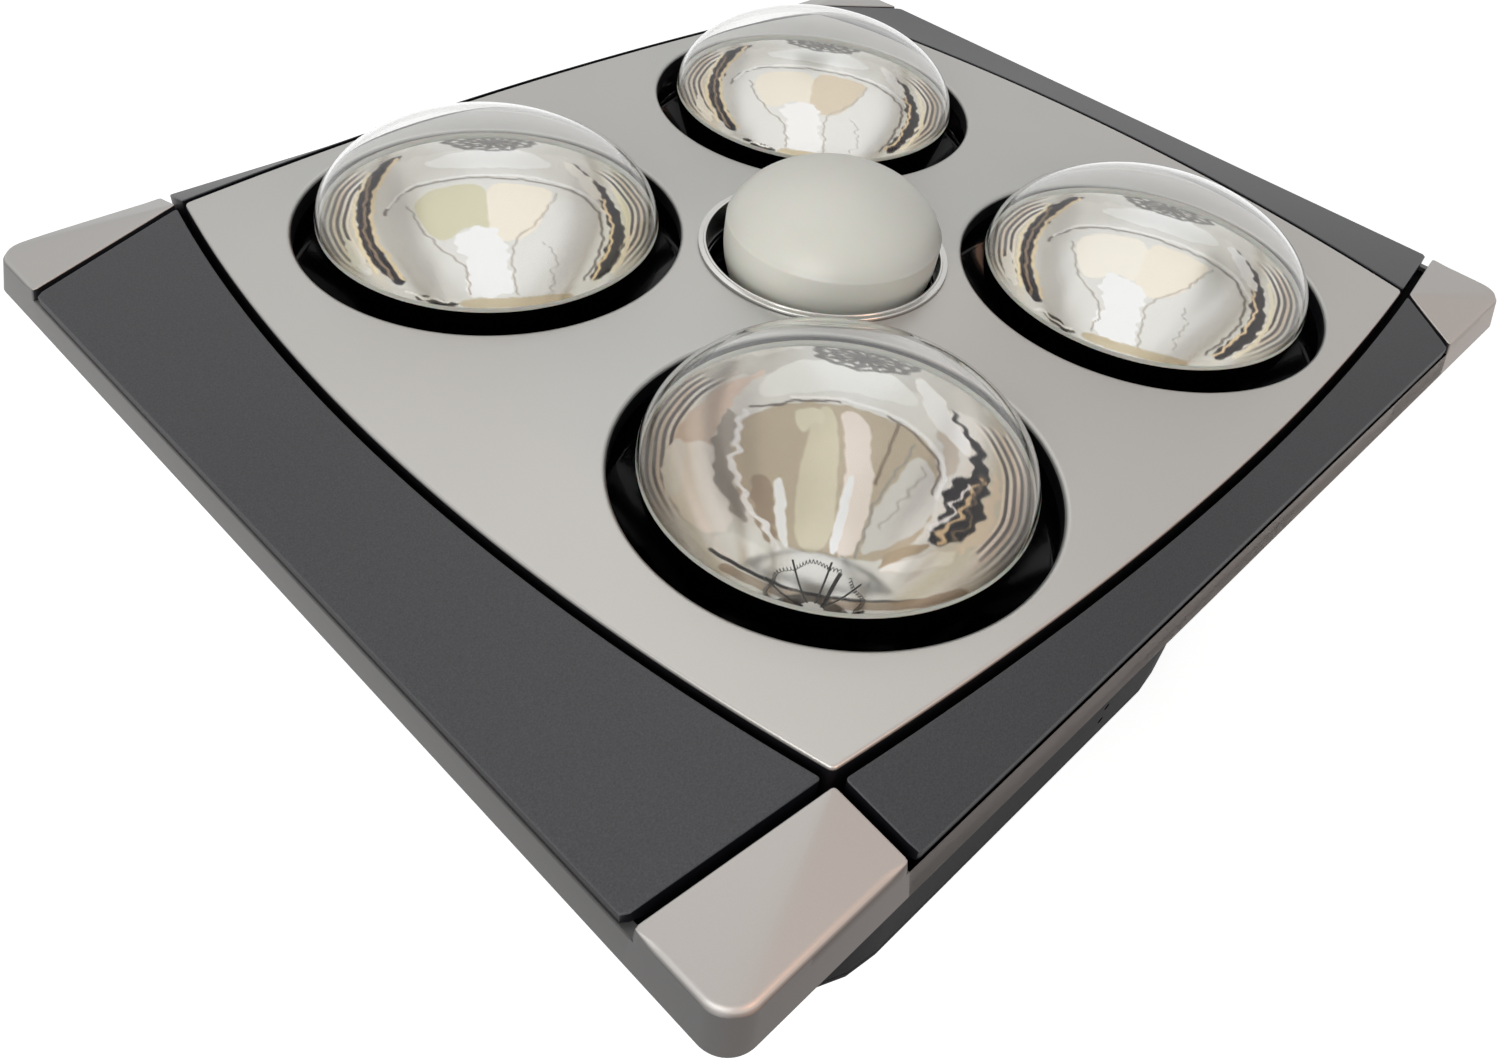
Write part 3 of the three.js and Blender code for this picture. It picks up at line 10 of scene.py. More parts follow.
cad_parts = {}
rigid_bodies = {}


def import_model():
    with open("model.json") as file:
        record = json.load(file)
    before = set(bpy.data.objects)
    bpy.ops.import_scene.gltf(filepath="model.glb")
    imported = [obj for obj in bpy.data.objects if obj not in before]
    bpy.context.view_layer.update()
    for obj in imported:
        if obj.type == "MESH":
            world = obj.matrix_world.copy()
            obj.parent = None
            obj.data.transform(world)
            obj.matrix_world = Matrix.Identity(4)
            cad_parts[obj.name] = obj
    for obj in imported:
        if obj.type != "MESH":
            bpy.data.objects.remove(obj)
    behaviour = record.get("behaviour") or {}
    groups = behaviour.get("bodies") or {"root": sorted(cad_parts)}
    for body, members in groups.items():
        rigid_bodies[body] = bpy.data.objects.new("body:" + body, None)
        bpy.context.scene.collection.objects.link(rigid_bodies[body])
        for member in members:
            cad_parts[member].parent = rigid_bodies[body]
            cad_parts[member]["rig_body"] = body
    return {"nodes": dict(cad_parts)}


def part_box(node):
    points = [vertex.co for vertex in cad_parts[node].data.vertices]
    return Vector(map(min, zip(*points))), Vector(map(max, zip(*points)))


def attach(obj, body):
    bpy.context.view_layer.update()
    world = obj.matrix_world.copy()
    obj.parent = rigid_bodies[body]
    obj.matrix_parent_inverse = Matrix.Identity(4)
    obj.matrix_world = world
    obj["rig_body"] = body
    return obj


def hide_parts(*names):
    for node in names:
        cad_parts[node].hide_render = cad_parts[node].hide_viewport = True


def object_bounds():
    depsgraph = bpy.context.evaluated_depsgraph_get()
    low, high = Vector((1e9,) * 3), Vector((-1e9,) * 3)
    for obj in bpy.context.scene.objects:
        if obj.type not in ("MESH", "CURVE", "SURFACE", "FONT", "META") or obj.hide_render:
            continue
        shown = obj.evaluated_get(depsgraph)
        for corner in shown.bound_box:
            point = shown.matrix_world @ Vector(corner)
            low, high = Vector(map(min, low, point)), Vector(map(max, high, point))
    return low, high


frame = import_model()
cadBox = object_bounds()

millimetre = 0.001
corners = {"front_left": (-1, -1), "front_right": (1, -1), "back_left": (-1, 1), "back_right": (1, 1)}
print("frame loaded:", len(frame["nodes"]), "nodes")


# Lowest and highest corner of a node in millimetres
def nodeBox(node):
    low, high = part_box(node)
    return np.array(low) / millimetre, np.array(high) / millimetre


panelTop = nodeBox("centre_panel")[1][2]
lampCentres = {corner: tuple(sum(nodeBox(f"heat_lamp_cap_{corner}"))[:2] / 2) for corner in corners}
fasciaLow, fasciaHigh = nodeBox("fascia_frame")


# Nodes of a material are added by these two
def addNode(tree, kind, **values):
    node = tree.nodes.new(kind)
    for name, value in values.items():
        if name in node.inputs:
            node.inputs[name].default_value = value
        else:
            setattr(node, name, value)
    return node


def startMaterial(name, **values):
    material = bpy.data.materials.new(name)
    material.use_nodes = True
    tree = material.node_tree
    shader = tree.nodes["Principled BSDF"]
    for socket, value in values.items():
        shader.inputs[socket.replace("_", " ")].default_value = value
    return material, tree, shader


# A noise on Object coordinates, stretched by the scale of each axis
def objectNoise(tree, scale, stretch=(1, 1, 1), detail=3.0, roughness=0.55):
    place = addNode(tree, "ShaderNodeTexCoord")
    mapping = addNode(tree, "ShaderNodeMapping")
    mapping.inputs["Scale"].default_value = stretch
    noise = addNode(tree, "ShaderNodeTexNoise", Scale=scale, Detail=detail, Roughness=roughness)
    tree.links.new(place.outputs["Object"], mapping.inputs["Vector"])
    tree.links.new(mapping.outputs["Vector"], noise.inputs["Vector"])
    return noise


# Maps a factor between two numbers
def between(tree, factor, low, high):
    span = addNode(tree, "ShaderNodeMapRange")
    span.inputs["To Min"].default_value = low
    span.inputs["To Max"].default_value = high
    tree.links.new(factor, span.inputs["Value"])
    return span.outputs["Result"]


# Two colours mixed by a factor
def mixColour(tree, factor, first, second):
    mix = addNode(tree, "ShaderNodeMix", data_type="RGBA")
    for socket, value in ((mix.inputs[6], first), (mix.inputs[7], second)):
        if isinstance(value, tuple):
            socket.default_value = value
        else:
            tree.links.new(value, socket)
    tree.links.new(factor, mix.inputs[0])
    return mix.outputs[2]


def addBump(tree, shader, height, strength, depth):
    bump = addNode(tree, "ShaderNodeBump", Strength=strength, Distance=depth)
    tree.links.new(height, bump.inputs["Height"])
    tree.links.new(bump.outputs["Normal"], shader.inputs["Normal"])


# A colour toned down and up by two factors, mixed by a noise
def tonedColour(tree, factor, colour, darker, lighter):
    dark, light = (tuple(min(1.0, part * tone) for part in colour) + (1,) for tone in (darker, lighter))
    return mixColour(tree, factor, dark, light)


paint = {
    # the black of painted shade, on walls and in grooves
    "paintedShadeBlack": (0.006, 0.006, 0.008, 1),
    "glossSpread": 0.05,
    "bumpDepth": 0.0002,
    "satinGrain": {"fine": 2600.0, "broad": 14.0, "tone": 0.03, "speck": 0.05, "bump": 0.10},
    "gunmetalGrain": {"fine": 1900.0, "broad": 11.0, "tone": 0.05, "speck": 0.4, "bump": 0.16},
    "silverGrain": {"fine": 2600.0, "broad": 12.0, "tone": 0.03, "speck": 0.05, "bump": 0.10},
}


# Satin paint over metal: fine grain in colour, gloss and height. Where the piece carries a "wall"
# attribute the colour goes toward black and the metal away, fully at 1: painted shade on walls and in
# grooves.
def paintedMetal(name, colour, metallic, roughness, grainName, shine=0.5):
    grain, spread = paint[grainName], paint["glossSpread"]
    material, tree, shader = startMaterial(name, Metallic=metallic, Specular_IOR_Level=shine)
    fine = objectNoise(tree, grain["fine"], detail=2.0).outputs["Fac"]
    broad = objectNoise(tree, grain["broad"], detail=2.0).outputs["Fac"]
    wall = addNode(tree, "ShaderNodeAttribute", attribute_name="wall").outputs["Fac"]
    shade = addNode(tree, "ShaderNodeVectorMath", operation="SCALE")
    tree.links.new(tonedColour(tree, broad, colour, 1 - grain["tone"], 1 + grain["tone"]), shade.inputs[0])
    tree.links.new(between(tree, fine, 1 - grain["speck"], 1 + grain["speck"]), shade.inputs["Scale"])
    tree.links.new(mixColour(tree, wall, shade.outputs[0], paint["paintedShadeBlack"]), shader.inputs["Base Color"])
    tree.links.new(between(tree, wall, metallic, 0.0), shader.inputs["Metallic"])
    tree.links.new(between(tree, fine, roughness - spread, roughness + spread), shader.inputs["Roughness"])
    addBump(tree, shader, fine, grain["bump"], paint["bumpDepth"])
    return material


mould = {"tones": (0.88, 1.12), "gloss": (0.9, 1.1), "coatRoughness": 0.03, "bumpDepth": 0.0003}


# Moulded plastic, glaze or powder coat, with a fine texture
def moulded(name, colour, roughness, textureScale, bump, coat=0.0, shine=0.5):
    material, tree, shader = startMaterial(
        name, Coat_Weight=coat, Coat_Roughness=mould["coatRoughness"], Specular_IOR_Level=shine)
    texture = objectNoise(tree, textureScale).outputs["Fac"]
    gloss = between(tree, texture, *(roughness * share for share in mould["gloss"]))
    tree.links.new(tonedColour(tree, texture, colour, *mould["tones"]), shader.inputs["Base Color"])
    tree.links.new(gloss, shader.inputs["Roughness"])
    addBump(tree, shader, texture, bump, mould["bumpDepth"])
    return material


bareMetal = {
    "tones": (0.9, 1.06),
    "gloss": (0.75, 1.3),
    "cloud": 60.0,
    "lines": 900.0,
    "bump": 0.08,
    "bumpDepth": 0.0001,
}


# Bare metal with fine lines across it
def drawnMetal(name, colour, roughness, stretch):
    material, tree, shader = startMaterial(name, Metallic=1.0)
    lines = objectNoise(tree, bareMetal["lines"], stretch, detail=4.0).outputs["Fac"]
    cloud = objectNoise(tree, bareMetal["cloud"]).outputs["Fac"]
    gloss = between(tree, lines, *(roughness * share for share in bareMetal["gloss"]))
    tree.links.new(tonedColour(tree, cloud, colour, *bareMetal["tones"]), shader.inputs["Base Color"])
    tree.links.new(gloss, shader.inputs["Roughness"])
    addBump(tree, shader, lines, bareMetal["bump"], bareMetal["bumpDepth"])
    return material


glass = {
    "silvered": {"Metallic": 0.92, "Roughness": 0.2},
    "clear": {"Base_Color": (0.99, 0.99, 0.985, 1), "Roughness": 0.0, "IOR": 1.3, "Transmission_Weight": 1.0},
    "opal": {"Roughness": 0.38, "IOR": 1.5, "Subsurface_Weight": 0.25, "Subsurface_Scale": 0.004},
    "silveredRipple": (30.0, 0.03, 0.0006),     # scale, strength and depth
    "clearRipple": (45.0, 0.02, 0.0004),
    "opalCloud": 40.0,
    "opalTones": ((0.82, 0.81, 0.73, 1), (0.87, 0.86, 0.78, 1)),
}


# Blown glass is never quite even
def addRipple(tree, shader, scale, strength, depth):
    addBump(tree, shader, objectNoise(tree, scale, detail=1.0).outputs["Fac"], strength, depth)


# The silvered inside of a lamp bowl takes its colour from a colour attribute, which holds its painted
# reflections
def silveredGlass():
    material, tree, shader = startMaterial("silvered_glass", **glass["silvered"])
    tint = addNode(tree, "ShaderNodeAttribute", attribute_name="tint")
    tree.links.new(tint.outputs["Color"], shader.inputs["Base Color"])
    addRipple(tree, shader, *glass["silveredRipple"])
    return material


def clearGlass():
    material, tree, shader = startMaterial("clear_lamp_glass", **glass["clear"])
    addRipple(tree, shader, *glass["clearRipple"])
    return material


def opalGlass():
    material, tree, shader = startMaterial("opal_lamp_glass", **glass["opal"])
    cloud = objectNoise(tree, glass["opalCloud"]).outputs["Fac"]
    tree.links.new(mixColour(tree, cloud, *glass["opalTones"]), shader.inputs["Base Color"])
    return material


finishes = {
    "satin_silver": paintedMetal("satin_silver_plate", (0.47, 0.465, 0.445), 0.45, 0.38, "satinGrain"),
    "gunmetal": paintedMetal("gunmetal_plate", (0.086, 0.086, 0.091), 0.06, 0.42, "gunmetalGrain", 0.12),
    "silver_paint": paintedMetal("silver_paint", (0.44, 0.43, 0.415), 0.35, 0.42, "silverGrain"),
    "bright_silver": drawnMetal("bright_ring", (0.55, 0.54, 0.52), 0.22, (1, 1, 8)),
    "black_housing": moulded("powder_coated_steel", (0.008, 0.008, 0.010), 0.55, 1500.0, 0.25, shine=0.03),
    "black_plastic": moulded("black_plastic", (0.014, 0.014, 0.015), 0.45, 1200.0, 0.12, shine=0.4),
    # the tray's black plastic, darker than the other black plastic: its own colour and painted shade in the
    # grooves, where only it shows
    "groove_black": moulded("groove_black", (0.004, 0.004, 0.005), 0.6, 1200.0, 0.12, shine=0.02),
    "gloss_black": moulded("gloss_black_well", (0.004, 0.004, 0.006), 0.12, 60.0, 0.02, coat=1.0),
    "lamp_brass": drawnMetal("nickelled_brass", (0.72, 0.62, 0.42), 0.24, (1, 1, 6)),
    "tungsten": drawnMetal("tungsten_wire", (0.06, 0.058, 0.055), 0.45, (1, 1, 1)),
    "ceramic": moulded("glazed_ceramic", (0.78, 0.76, 0.71), 0.22, 300.0, 0.05, coat=0.5),
    "grey_plastic": moulded("grey_plastic", (0.36, 0.37, 0.37), 0.45, 900.0, 0.12),
    "plain_steel": drawnMetal("zinc_plated_steel", (0.56, 0.57, 0.58), 0.32, (1, 1, 5)),
    "spring_steel": drawnMetal("spring_steel", (0.42, 0.42, 0.43), 0.28, (1, 1, 3)),
    "opal_glass": opalGlass(),
    "lamp_glass": clearGlass(),
    "lamp_mirror": silveredGlass(),
}
print("finishes made:", len(finishes))


# Links a finished mesh into the scene, says which body it rides, and hides the nodes it stands for
def addPiece(name, mesh, slot, nodes, finish=None, smoothAngle=35.0):
    mesh.shade_smooth()
    mesh.set_sharp_from_angle(angle=math.radians(smoothAngle))
    mesh.materials.clear()
    mesh.materials.append(finishes[finish or slot])
    piece = bpy.data.objects.new(name, mesh)
    bpy.context.scene.collection.objects.link(piece)
    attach(piece, frame["nodes"][nodes[0]]["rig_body"])
    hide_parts(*nodes)
    return piece


# A mesh from points in millimetres. Doubles are merged, so that poles and seams close.
def makeMesh(name, points, faces, **attributes):
    mesh = bpy.data.meshes.new(name)
    mesh.from_pydata((np.asarray(points, float).reshape(-1, 3) * millimetre).tolist(), [], faces)
    for label, values in attributes.items():
        values = np.asarray(values, np.float32)
        if values.size == len(mesh.vertices):
            mesh.attributes.new(label, "FLOAT", "POINT").data.foreach_set("value", values.ravel())
        else:
            opaque = np.ones((len(mesh.vertices), 1), np.float32)
            colours = np.concatenate([values.reshape(-1, 3), opaque], 1)
            mesh.attributes.new(label, "FLOAT_COLOR", "POINT").data.foreach_set("color", colours.ravel())
    shape = bmesh.new()
    shape.from_mesh(mesh)
    bmesh.ops.remove_doubles(shape, verts=shape.verts, dist=0.002 * millimetre)
    bmesh.ops.recalc_face_normals(shape, faces=shape.faces)
    shape.to_mesh(mesh)
    shape.free()
    return mesh


# Quads between the rows and columns of a grid, from index first on
def gridFaces(rows, columns, closedRows=False, closedColumns=True, first=0):
    row = np.arange(rows if closedRows else rows - 1)[:, None]
    column = np.arange(columns if closedColumns else columns - 1)[None, :]
    here, ahead = row * columns, (row + 1) % rows * columns
    aside = (column + 1) % columns
    quads = np.stack([here + column, here + aside, ahead + aside, ahead + column], -1)
    return (quads.reshape(-1, 4) + first).tolist()


def unit(vectors):
    return vectors / np.linalg.norm(vectors, axis=-1, keepdims=True)


# A quadratic curve: (1 - s)^2 first + 2 s (1 - s) corner + s^2 second
def quadratic(first, corner, second, share):
    return (1 - share) ** 2 * first + 2 * share * (1 - share) * corner + share ** 2 * second


# Insets and drops of a quarter circle: inset = r (1 - cos a), drop = r (1 - sin a)
def quarterRound(radius, steps):
    turns = np.linspace(0, math.pi / 2, steps + 1)
    return [(radius * (1 - math.cos(a)), radius * (1 - math.sin(a))) for a in turns]


# A closed polyline with its corners cut back by their trims and rounded: each rounding is a
# quadratic curve from one trimmed end to the next with the corner as its control point.
def roundedProfile(points, trims, steps=5, closed=True):
    points = np.asarray(points, float)
    trims = np.broadcast_to(np.asarray(trims, float), (len(points),))
    before = np.roll(points, 1, 0) - points
    after = np.roll(points, -1, 0) - points
    first = points + before * (trims / np.linalg.norm(before, axis=1))[:, None]
    second = points + after * (trims / np.linalg.norm(after, axis=1))[:, None]
    share = np.linspace(0, 1, steps + 1)[None, :, None]
    curve = quadratic(first[:, None], points[:, None], second[:, None], share)
    if not closed:
        curve[0] = points[0]
        curve[-1] = points[-1]
    return curve.reshape(-1, 2)


# Points of a profile (radius, height) turned about a vertical axis: x = cx + r cos a, y = cy + r sin a
def turnedPoints(profile, steps, centre=(0.0, 0.0)):
    radius, height = np.asarray(profile, float).T
    angle = np.linspace(0, 2 * math.pi, steps, endpoint=False)
    x = centre[0] + radius[:, None] * np.cos(angle)
    y = centre[1] + radius[:, None] * np.sin(angle)
    return np.stack([x, y, np.broadcast_to(height[:, None], x.shape)], -1)


def turnedMesh(name, profile, steps, centre=(0.0, 0.0), closed=True):
    points = turnedPoints(profile, steps, centre)
    return makeMesh(name, points, gridFaces(len(profile), steps, closedRows=closed))


# Smooth step between two values: s^2 (3 - 2 s), where s is the share of the way
def softStep(value, low, high):
    share = np.clip((value - low) / (high - low), 0, 1)
    return share * share * (3 - 2 * share)


# Points at even lengths along a polyline, between a start and what is left off at its end
def alongPath(path, start, left, count):
    reached = np.concatenate([[0], np.cumsum(np.linalg.norm(np.diff(path, axis=0), axis=1))])
    places = np.linspace(start, reached[-1] - left, count)
    return np.stack([np.interp(places, reached, path[:, axis]) for axis in range(path.shape[1])], 1)


# Joins paths end to end into a closed loop. Each junction is rounded as in roundedProfile.
def joinedLoop(paths, trims, counts, steps=6):
    share = np.linspace(0, 1, steps + 2)[1:-1, None]
    parts = []
    for side, path in enumerate(paths):
        run = alongPath(path, trims[side - 1], trims[side], counts[side])
        onward = alongPath(paths[(side + 1) % len(paths)], trims[side], 0, 2)[0]
        parts += [run, quadratic(run[-1], path[-1], onward, share)]
    return np.concatenate(parts)


# Inward normals of a closed loop that runs counter-clockwise, longer at a bend as a mitre is
def inwardNormals(loop):
    arriving = unit(loop - np.roll(loop, 1, 0))
    leaving = unit(np.roll(loop, -1, 0) - loop)
    inward = unit(np.stack([-(arriving + leaving)[:, 1], (arriving + leaving)[:, 0]], 1))
    mitre = np.sum(inward * np.stack([-arriving[:, 1], arriving[:, 0]], 1), 1)
    return inward / np.maximum(mitre, 0.5)[:, None]


# Centre panel outline
pillow = {
    "length": 341.6,
    "width": 324.4,
    "bulgeX": 18.1,
    "bulgeY": 10.6,
    "cornerTrim": 1.8,
    "sideCount": 60,
}


# Each side is an arc through both corners: radius = (half^2 + bulge^2) / (2 bulge).
# An offset keeps the centres and adds to the radii.
def pillowArcs():
    radiusX = ((pillow["width"] / 2) ** 2 + pillow["bulgeX"] ** 2) / (2 * pillow["bulgeX"])
    radiusY = ((pillow["length"] / 2) ** 2 + pillow["bulgeY"] ** 2) / (2 * pillow["bulgeY"])
    centreX = pillow["length"] / 2 + pillow["bulgeX"] - radiusX
    centreY = pillow["width"] / 2 + pillow["bulgeY"] - radiusY
    return {"radiusX": radiusX, "centreX": centreX, "radiusY": radiusY, "centreY": centreY}


arcs = pillowArcs()


# Where the offset arcs of two neighbouring sides cross, in the first quadrant
def pillowCorner(offset):
    first = arcs["radiusX"] + offset
    second = arcs["radiusY"] + offset
    gap = math.hypot(arcs["centreX"], arcs["centreY"])
    along = (first ** 2 - second ** 2 + gap ** 2) / (2 * gap)
    across = math.sqrt(first ** 2 - along ** 2)
    toward = np.array([-arcs["centreX"], arcs["centreY"]]) / gap
    side = np.array([-toward[1], toward[0]])
    start = np.array([arcs["centreX"], 0.0]) + toward * along
    options = [start + side * across, start - side * across]
    return next(point for point in options if point[0] > 0 and point[1] > 0)


# One side of the outline as a path: x = centre + r cos a, y = r sin a, turned by quarters
def pillowSide(side, offset):
    corner = pillowCorner(offset)
    kind = "X" if side % 2 == 0 else "Y"
    radius = arcs["radius" + kind] + offset
    reach = math.asin((corner[1] if kind == "X" else corner[0]) / radius)
    angle = np.linspace(-reach, reach, pillow["sideCount"])
    x = arcs["centre" + kind] + radius * np.cos(angle)
    y = radius * np.sin(angle)
    turn = side * math.pi / 2
    return np.stack([x * math.cos(turn) - y * math.sin(turn), x * math.sin(turn) + y * math.cos(turn)], 1)


centrePanel = {
    "edgeRound": 0.9,
    "edgeSteps": 5,
    "support": 0.6,
    "skin": 2.2,
    "skirt": 2.0,
    "foot": 191.0,
    "holeRadius": 71.3,
    "lipRound": 1.6,
    "lipSteps": 6,
    "collarWall": 2.0,
    "collarDepth": 7.0,
    "centreHole": 46.8,
    "centreRound": 0.3,
    "holeSteps": 160,
    # painted shade: below this height the plate is black, on its skirt and its hole walls
    "paintedShadeBelow": 206.6,
    "edgeBlackDrop": 0.1,
    "holeBlackDrop": 0.4,
}


# The panel is rows of loops for the outer edge and for each hole, with quarter-circle roundings.
# Its two flat faces are filled between the loops' ends.
def buildCentrePanel():
    size = centrePanel
    under = panelTop - size["skin"]
    sides = [pillowSide(side, 0.0) for side in range(4)]
    outline = joinedLoop(sides, [pillow["cornerTrim"]] * 4, [pillow["sideCount"]] * 4)
    inward = inwardNormals(outline)
    levels = [(size["skirt"], under), (size["skirt"], size["foot"]), (0.0, size["foot"])]
    levels += [(0.0, size["paintedShadeBelow"] - size["edgeBlackDrop"])]
    levels += [(inset, panelTop - drop) for inset, drop in quarterRound(size["edgeRound"], size["edgeSteps"])]
    levels += [(size["edgeRound"] + size["support"], panelTop)]
    rows = [np.column_stack([outline + inward * inset, np.full(len(outline), z)]) for inset, z in levels]
    strips = [np.stack(rows)]
    bore, collar = size["holeRadius"], size["holeRadius"] + size["collarWall"]
    hole = [(collar, under), (collar, panelTop - size["collarDepth"]), (bore, panelTop - size["collarDepth"])]
    hole += [(bore, size["paintedShadeBelow"] - size["holeBlackDrop"])]
    hole += [(bore + out, panelTop - drop) for out, drop in quarterRound(size["lipRound"], size["lipSteps"])]
    hole += [(bore + size["lipRound"] + size["support"], panelTop)]
    strips += [turnedPoints(hole, size["holeSteps"], centre) for centre in lampCentres.values()]
    middle, bevel = size["centreHole"], size["centreRound"]
    rows = [(middle, under), (middle, panelTop - bevel), (middle + bevel, panelTop)]
    strips.append(turnedPoints(rows, size["holeSteps"]))
    faces, firsts, lasts, start = [], [], [], 0
    for strip in strips:
        rows, columns = strip.shape[:2]
        faces += gridFaces(rows, columns, first=start)
        firsts.append(start + np.arange(columns))
        lasts.append(start + (rows - 1) * columns + np.arange(columns))
        start += rows * columns
    points = np.concatenate([strip.reshape(-1, 3) for strip in strips])
    for rims in (firsts, lasts):
        order = np.concatenate(rims)
        loops = [[tuple(points[index]) for index in rim] for rim in rims]
        faces += [[int(order[corner]) for corner in triangle] for triangle in tessellate_polygon(loops)]
    # Painted shade: black on the skirt and the hole walls, which stand down in the grooves and wells
    wall = (points[:, 2] < size["paintedShadeBelow"]).astype(float)
    mesh = makeMesh("centre_panel_plate", points, faces, wall=wall)
    addPiece("centre_panel_plate", mesh, "satin_silver", ["centre_panel"])


buildCentrePanel()
print("centre panel built")


lid = {
    "edgeSteps": 5,
    "support": 0.35,
    "wallRows": 3,
    "shares": (0.12, 0.3, 0.5, 0.68, 0.82, 0.91, 0.96, 0.985, 1.0),
}


# A lid: a plan loop with a height over it, a rounded edge and a wall down to its foot.
# Both halves of the loop are sampled where they have the same measure along the lid, and the
# top and the underside run from each half to a spine between them: point = edge + share (spine - edge).
# The underside's halves keep their own foot heights, so they don't meet where these differ.
def lidPoints(loop, measure, stations, heightAt, roundAt, footAt, spineOf, leanAt=None):
    value = loop @ measure
    loop = np.roll(loop, -int(np.argmin(value)), 0)
    value = loop @ measure
    turn = int(np.argmax(value))
    places = value.min() + (value.max() - value.min()) * (1 - np.cos(np.linspace(0, math.pi, stations))) / 2
    halves = []
    for half in (np.arange(turn + 1), np.append(np.arange(turn, len(loop)), 0)[::-1]):
        rising = np.maximum.accumulate(value[half])
        halves.append(np.stack([np.interp(places, rising, loop[half, axis]) for axis in (0, 1)], 1))
    outline = np.concatenate([halves[0], halves[1][-2:0:-1]])
    inward = inwardNormals(outline)
    radius = roundAt(outline)
    foot = footAt(outline)
    mate = np.concatenate([np.arange(stations), np.arange(stations - 2, 0, -1)])
    edge = outline + inward * (radius + lid["support"])[:, None]
    other = np.concatenate([edge[:1], edge[:stations - 1:-1], edge[stations - 1:stations]])
    spine = spineOf(edge[:stations], other)[mate]
    lean = leanAt if leanAt else lambda plan, height: plan
    rings = [np.column_stack([spine, foot]), np.column_stack([lean(outline, foot), foot])]
    for step, (inset, drop) in enumerate(quarterRound(1.0, lid["edgeSteps"])):
        plan = outline + inward * (radius * inset)[:, None]
        height = heightAt(plan) - radius * drop
        rings.append(np.column_stack([plan if step else lean(plan, height), height]))
    for share in (0.0, *lid["shares"]):
        plan = edge + (spine - edge) * share
        rings.append(np.column_stack([plan, heightAt(plan)]))
    # The wall rows are painted black as shade: a share of black for each point
    paintedShade = np.zeros((len(rings), len(outline)))
    paintedShade[:lid["wallRows"]] = 1.0
    return np.stack(rings), paintedShade


frameForm = {
    "cornerRadius": 9.5,
    "draft": 2.2,
    "ledgeDrop": 15.0,
    "ledgeWidth": 3.5,
    "ledgeThickness": 2.0,
    "wall": 2.0,
    "footRound": 0.4,
    "edgeDrop": 10.7,
    "peakDrop": 1.0,
    "groove": 3.2,
    "endOnShortSide": 156.5,
    "endOnLongSide": 169.7,
    "endStepShare": 0.0001,       # the rim's rounding ends within this share of a kite's end
    "cornerTrim": 1.3,
    "grooveFoot": 0.01,           # eave share below which a kite's wall reaches down as a groove's
    # painted shade: a kite's wall in a groove is black below this eave share
    "grooveShade": 0.05,          # and below which it is black
    "eaveRound": 1.7,
    "eaveReach": 8.0,
    "grooveRound": 0.45,
    "ridgeSoft": 0.25,
    "ridgeSofter": 1.5,
    "lowRound": 0.45,
    "lowSteps": 4,
    "stations": 90,
    "kiteArcCount": 40,
    "kiteCounts": (120, 400, 120),
    "arcSteps": 14,
    # painted shade on the outer walls as shares of black, and how it fades (see rimShade)
    "wallShade": 0.88,
    "fade": 0.2,
    "frontFade": 0.42,
    "frontBand": (12.0, 2.0),     # where the front side's own fade starts and is full, from its foot
    "fadeSpan": (-400.0, 20.0),   # x + y where the fade starts and is full
    "fadeRows": (2.0, 4.0),
}
ledgeTop = panelTop - frameForm["ledgeDrop"]
leanRate = frameForm["draft"] / (ledgeTop - fasciaLow[2])
halfLow = fasciaHigh[:2]
edgeHeight = panelTop - frameForm["edgeDrop"]
halfEdge = halfLow - leanRate * (edgeHeight - fasciaLow[2])
kitePeak = pillowCorner(frameForm["groove"])
kiteShort = np.array([halfEdge[0], frameForm["endOnShortSide"]])
kiteLong = np.array([frameForm["endOnLongSide"], halfEdge[1]])


# Height of a kite: the lower of two slopes, height = (a + b - sqrt((a - b)^2 + soft^2)) / 2,
# and the ridge softens towards the outer corner
def kiteHeight(plan):
    drop = frameForm["edgeDrop"] - frameForm["peakDrop"]
    peak = panelTop - frameForm["peakDrop"]
    slopes = peak - drop * (plan - kitePeak) / (halfEdge - kitePeak)
    along = np.clip((plan[:, 0] - kitePeak[0]) / (halfEdge[0] - kitePeak[0]), 0, 1)
    soft = frameForm["ridgeSoft"] + frameForm["ridgeSofter"] * along
    return (slopes[:, 0] + slopes[:, 1] - np.sqrt((slopes[:, 0] - slopes[:, 1]) ** 2 + soft ** 2)) / 2


# Distance from a line: the part of (point - start) that is square to it
def distanceFromLine(plan, start, end):
    ahead = unit(end - start)
    return np.abs((plan - start) @ np.array([-ahead[1], ahead[0]]))


# How far a point of the kite's plan is from both grooves, as a share of the eave's reach
def eaveShare(plan):
    away = np.minimum(distanceFromLine(plan, kitePeak, kiteShort), distanceFromLine(plan, kitePeak, kiteLong))
    return softStep(away, 0.0, frameForm["eaveReach"])


# A kite's outer walls lean as the rim does: out by the rim's lean times the drop below the edge
def kiteLean(plan, height):
    reach = (plan - kitePeak) / (halfEdge - frameForm["cornerRadius"] - kitePeak)
    return plan + np.clip(reach, 0, 1) * (leanRate * (edgeHeight - height))[:, None]


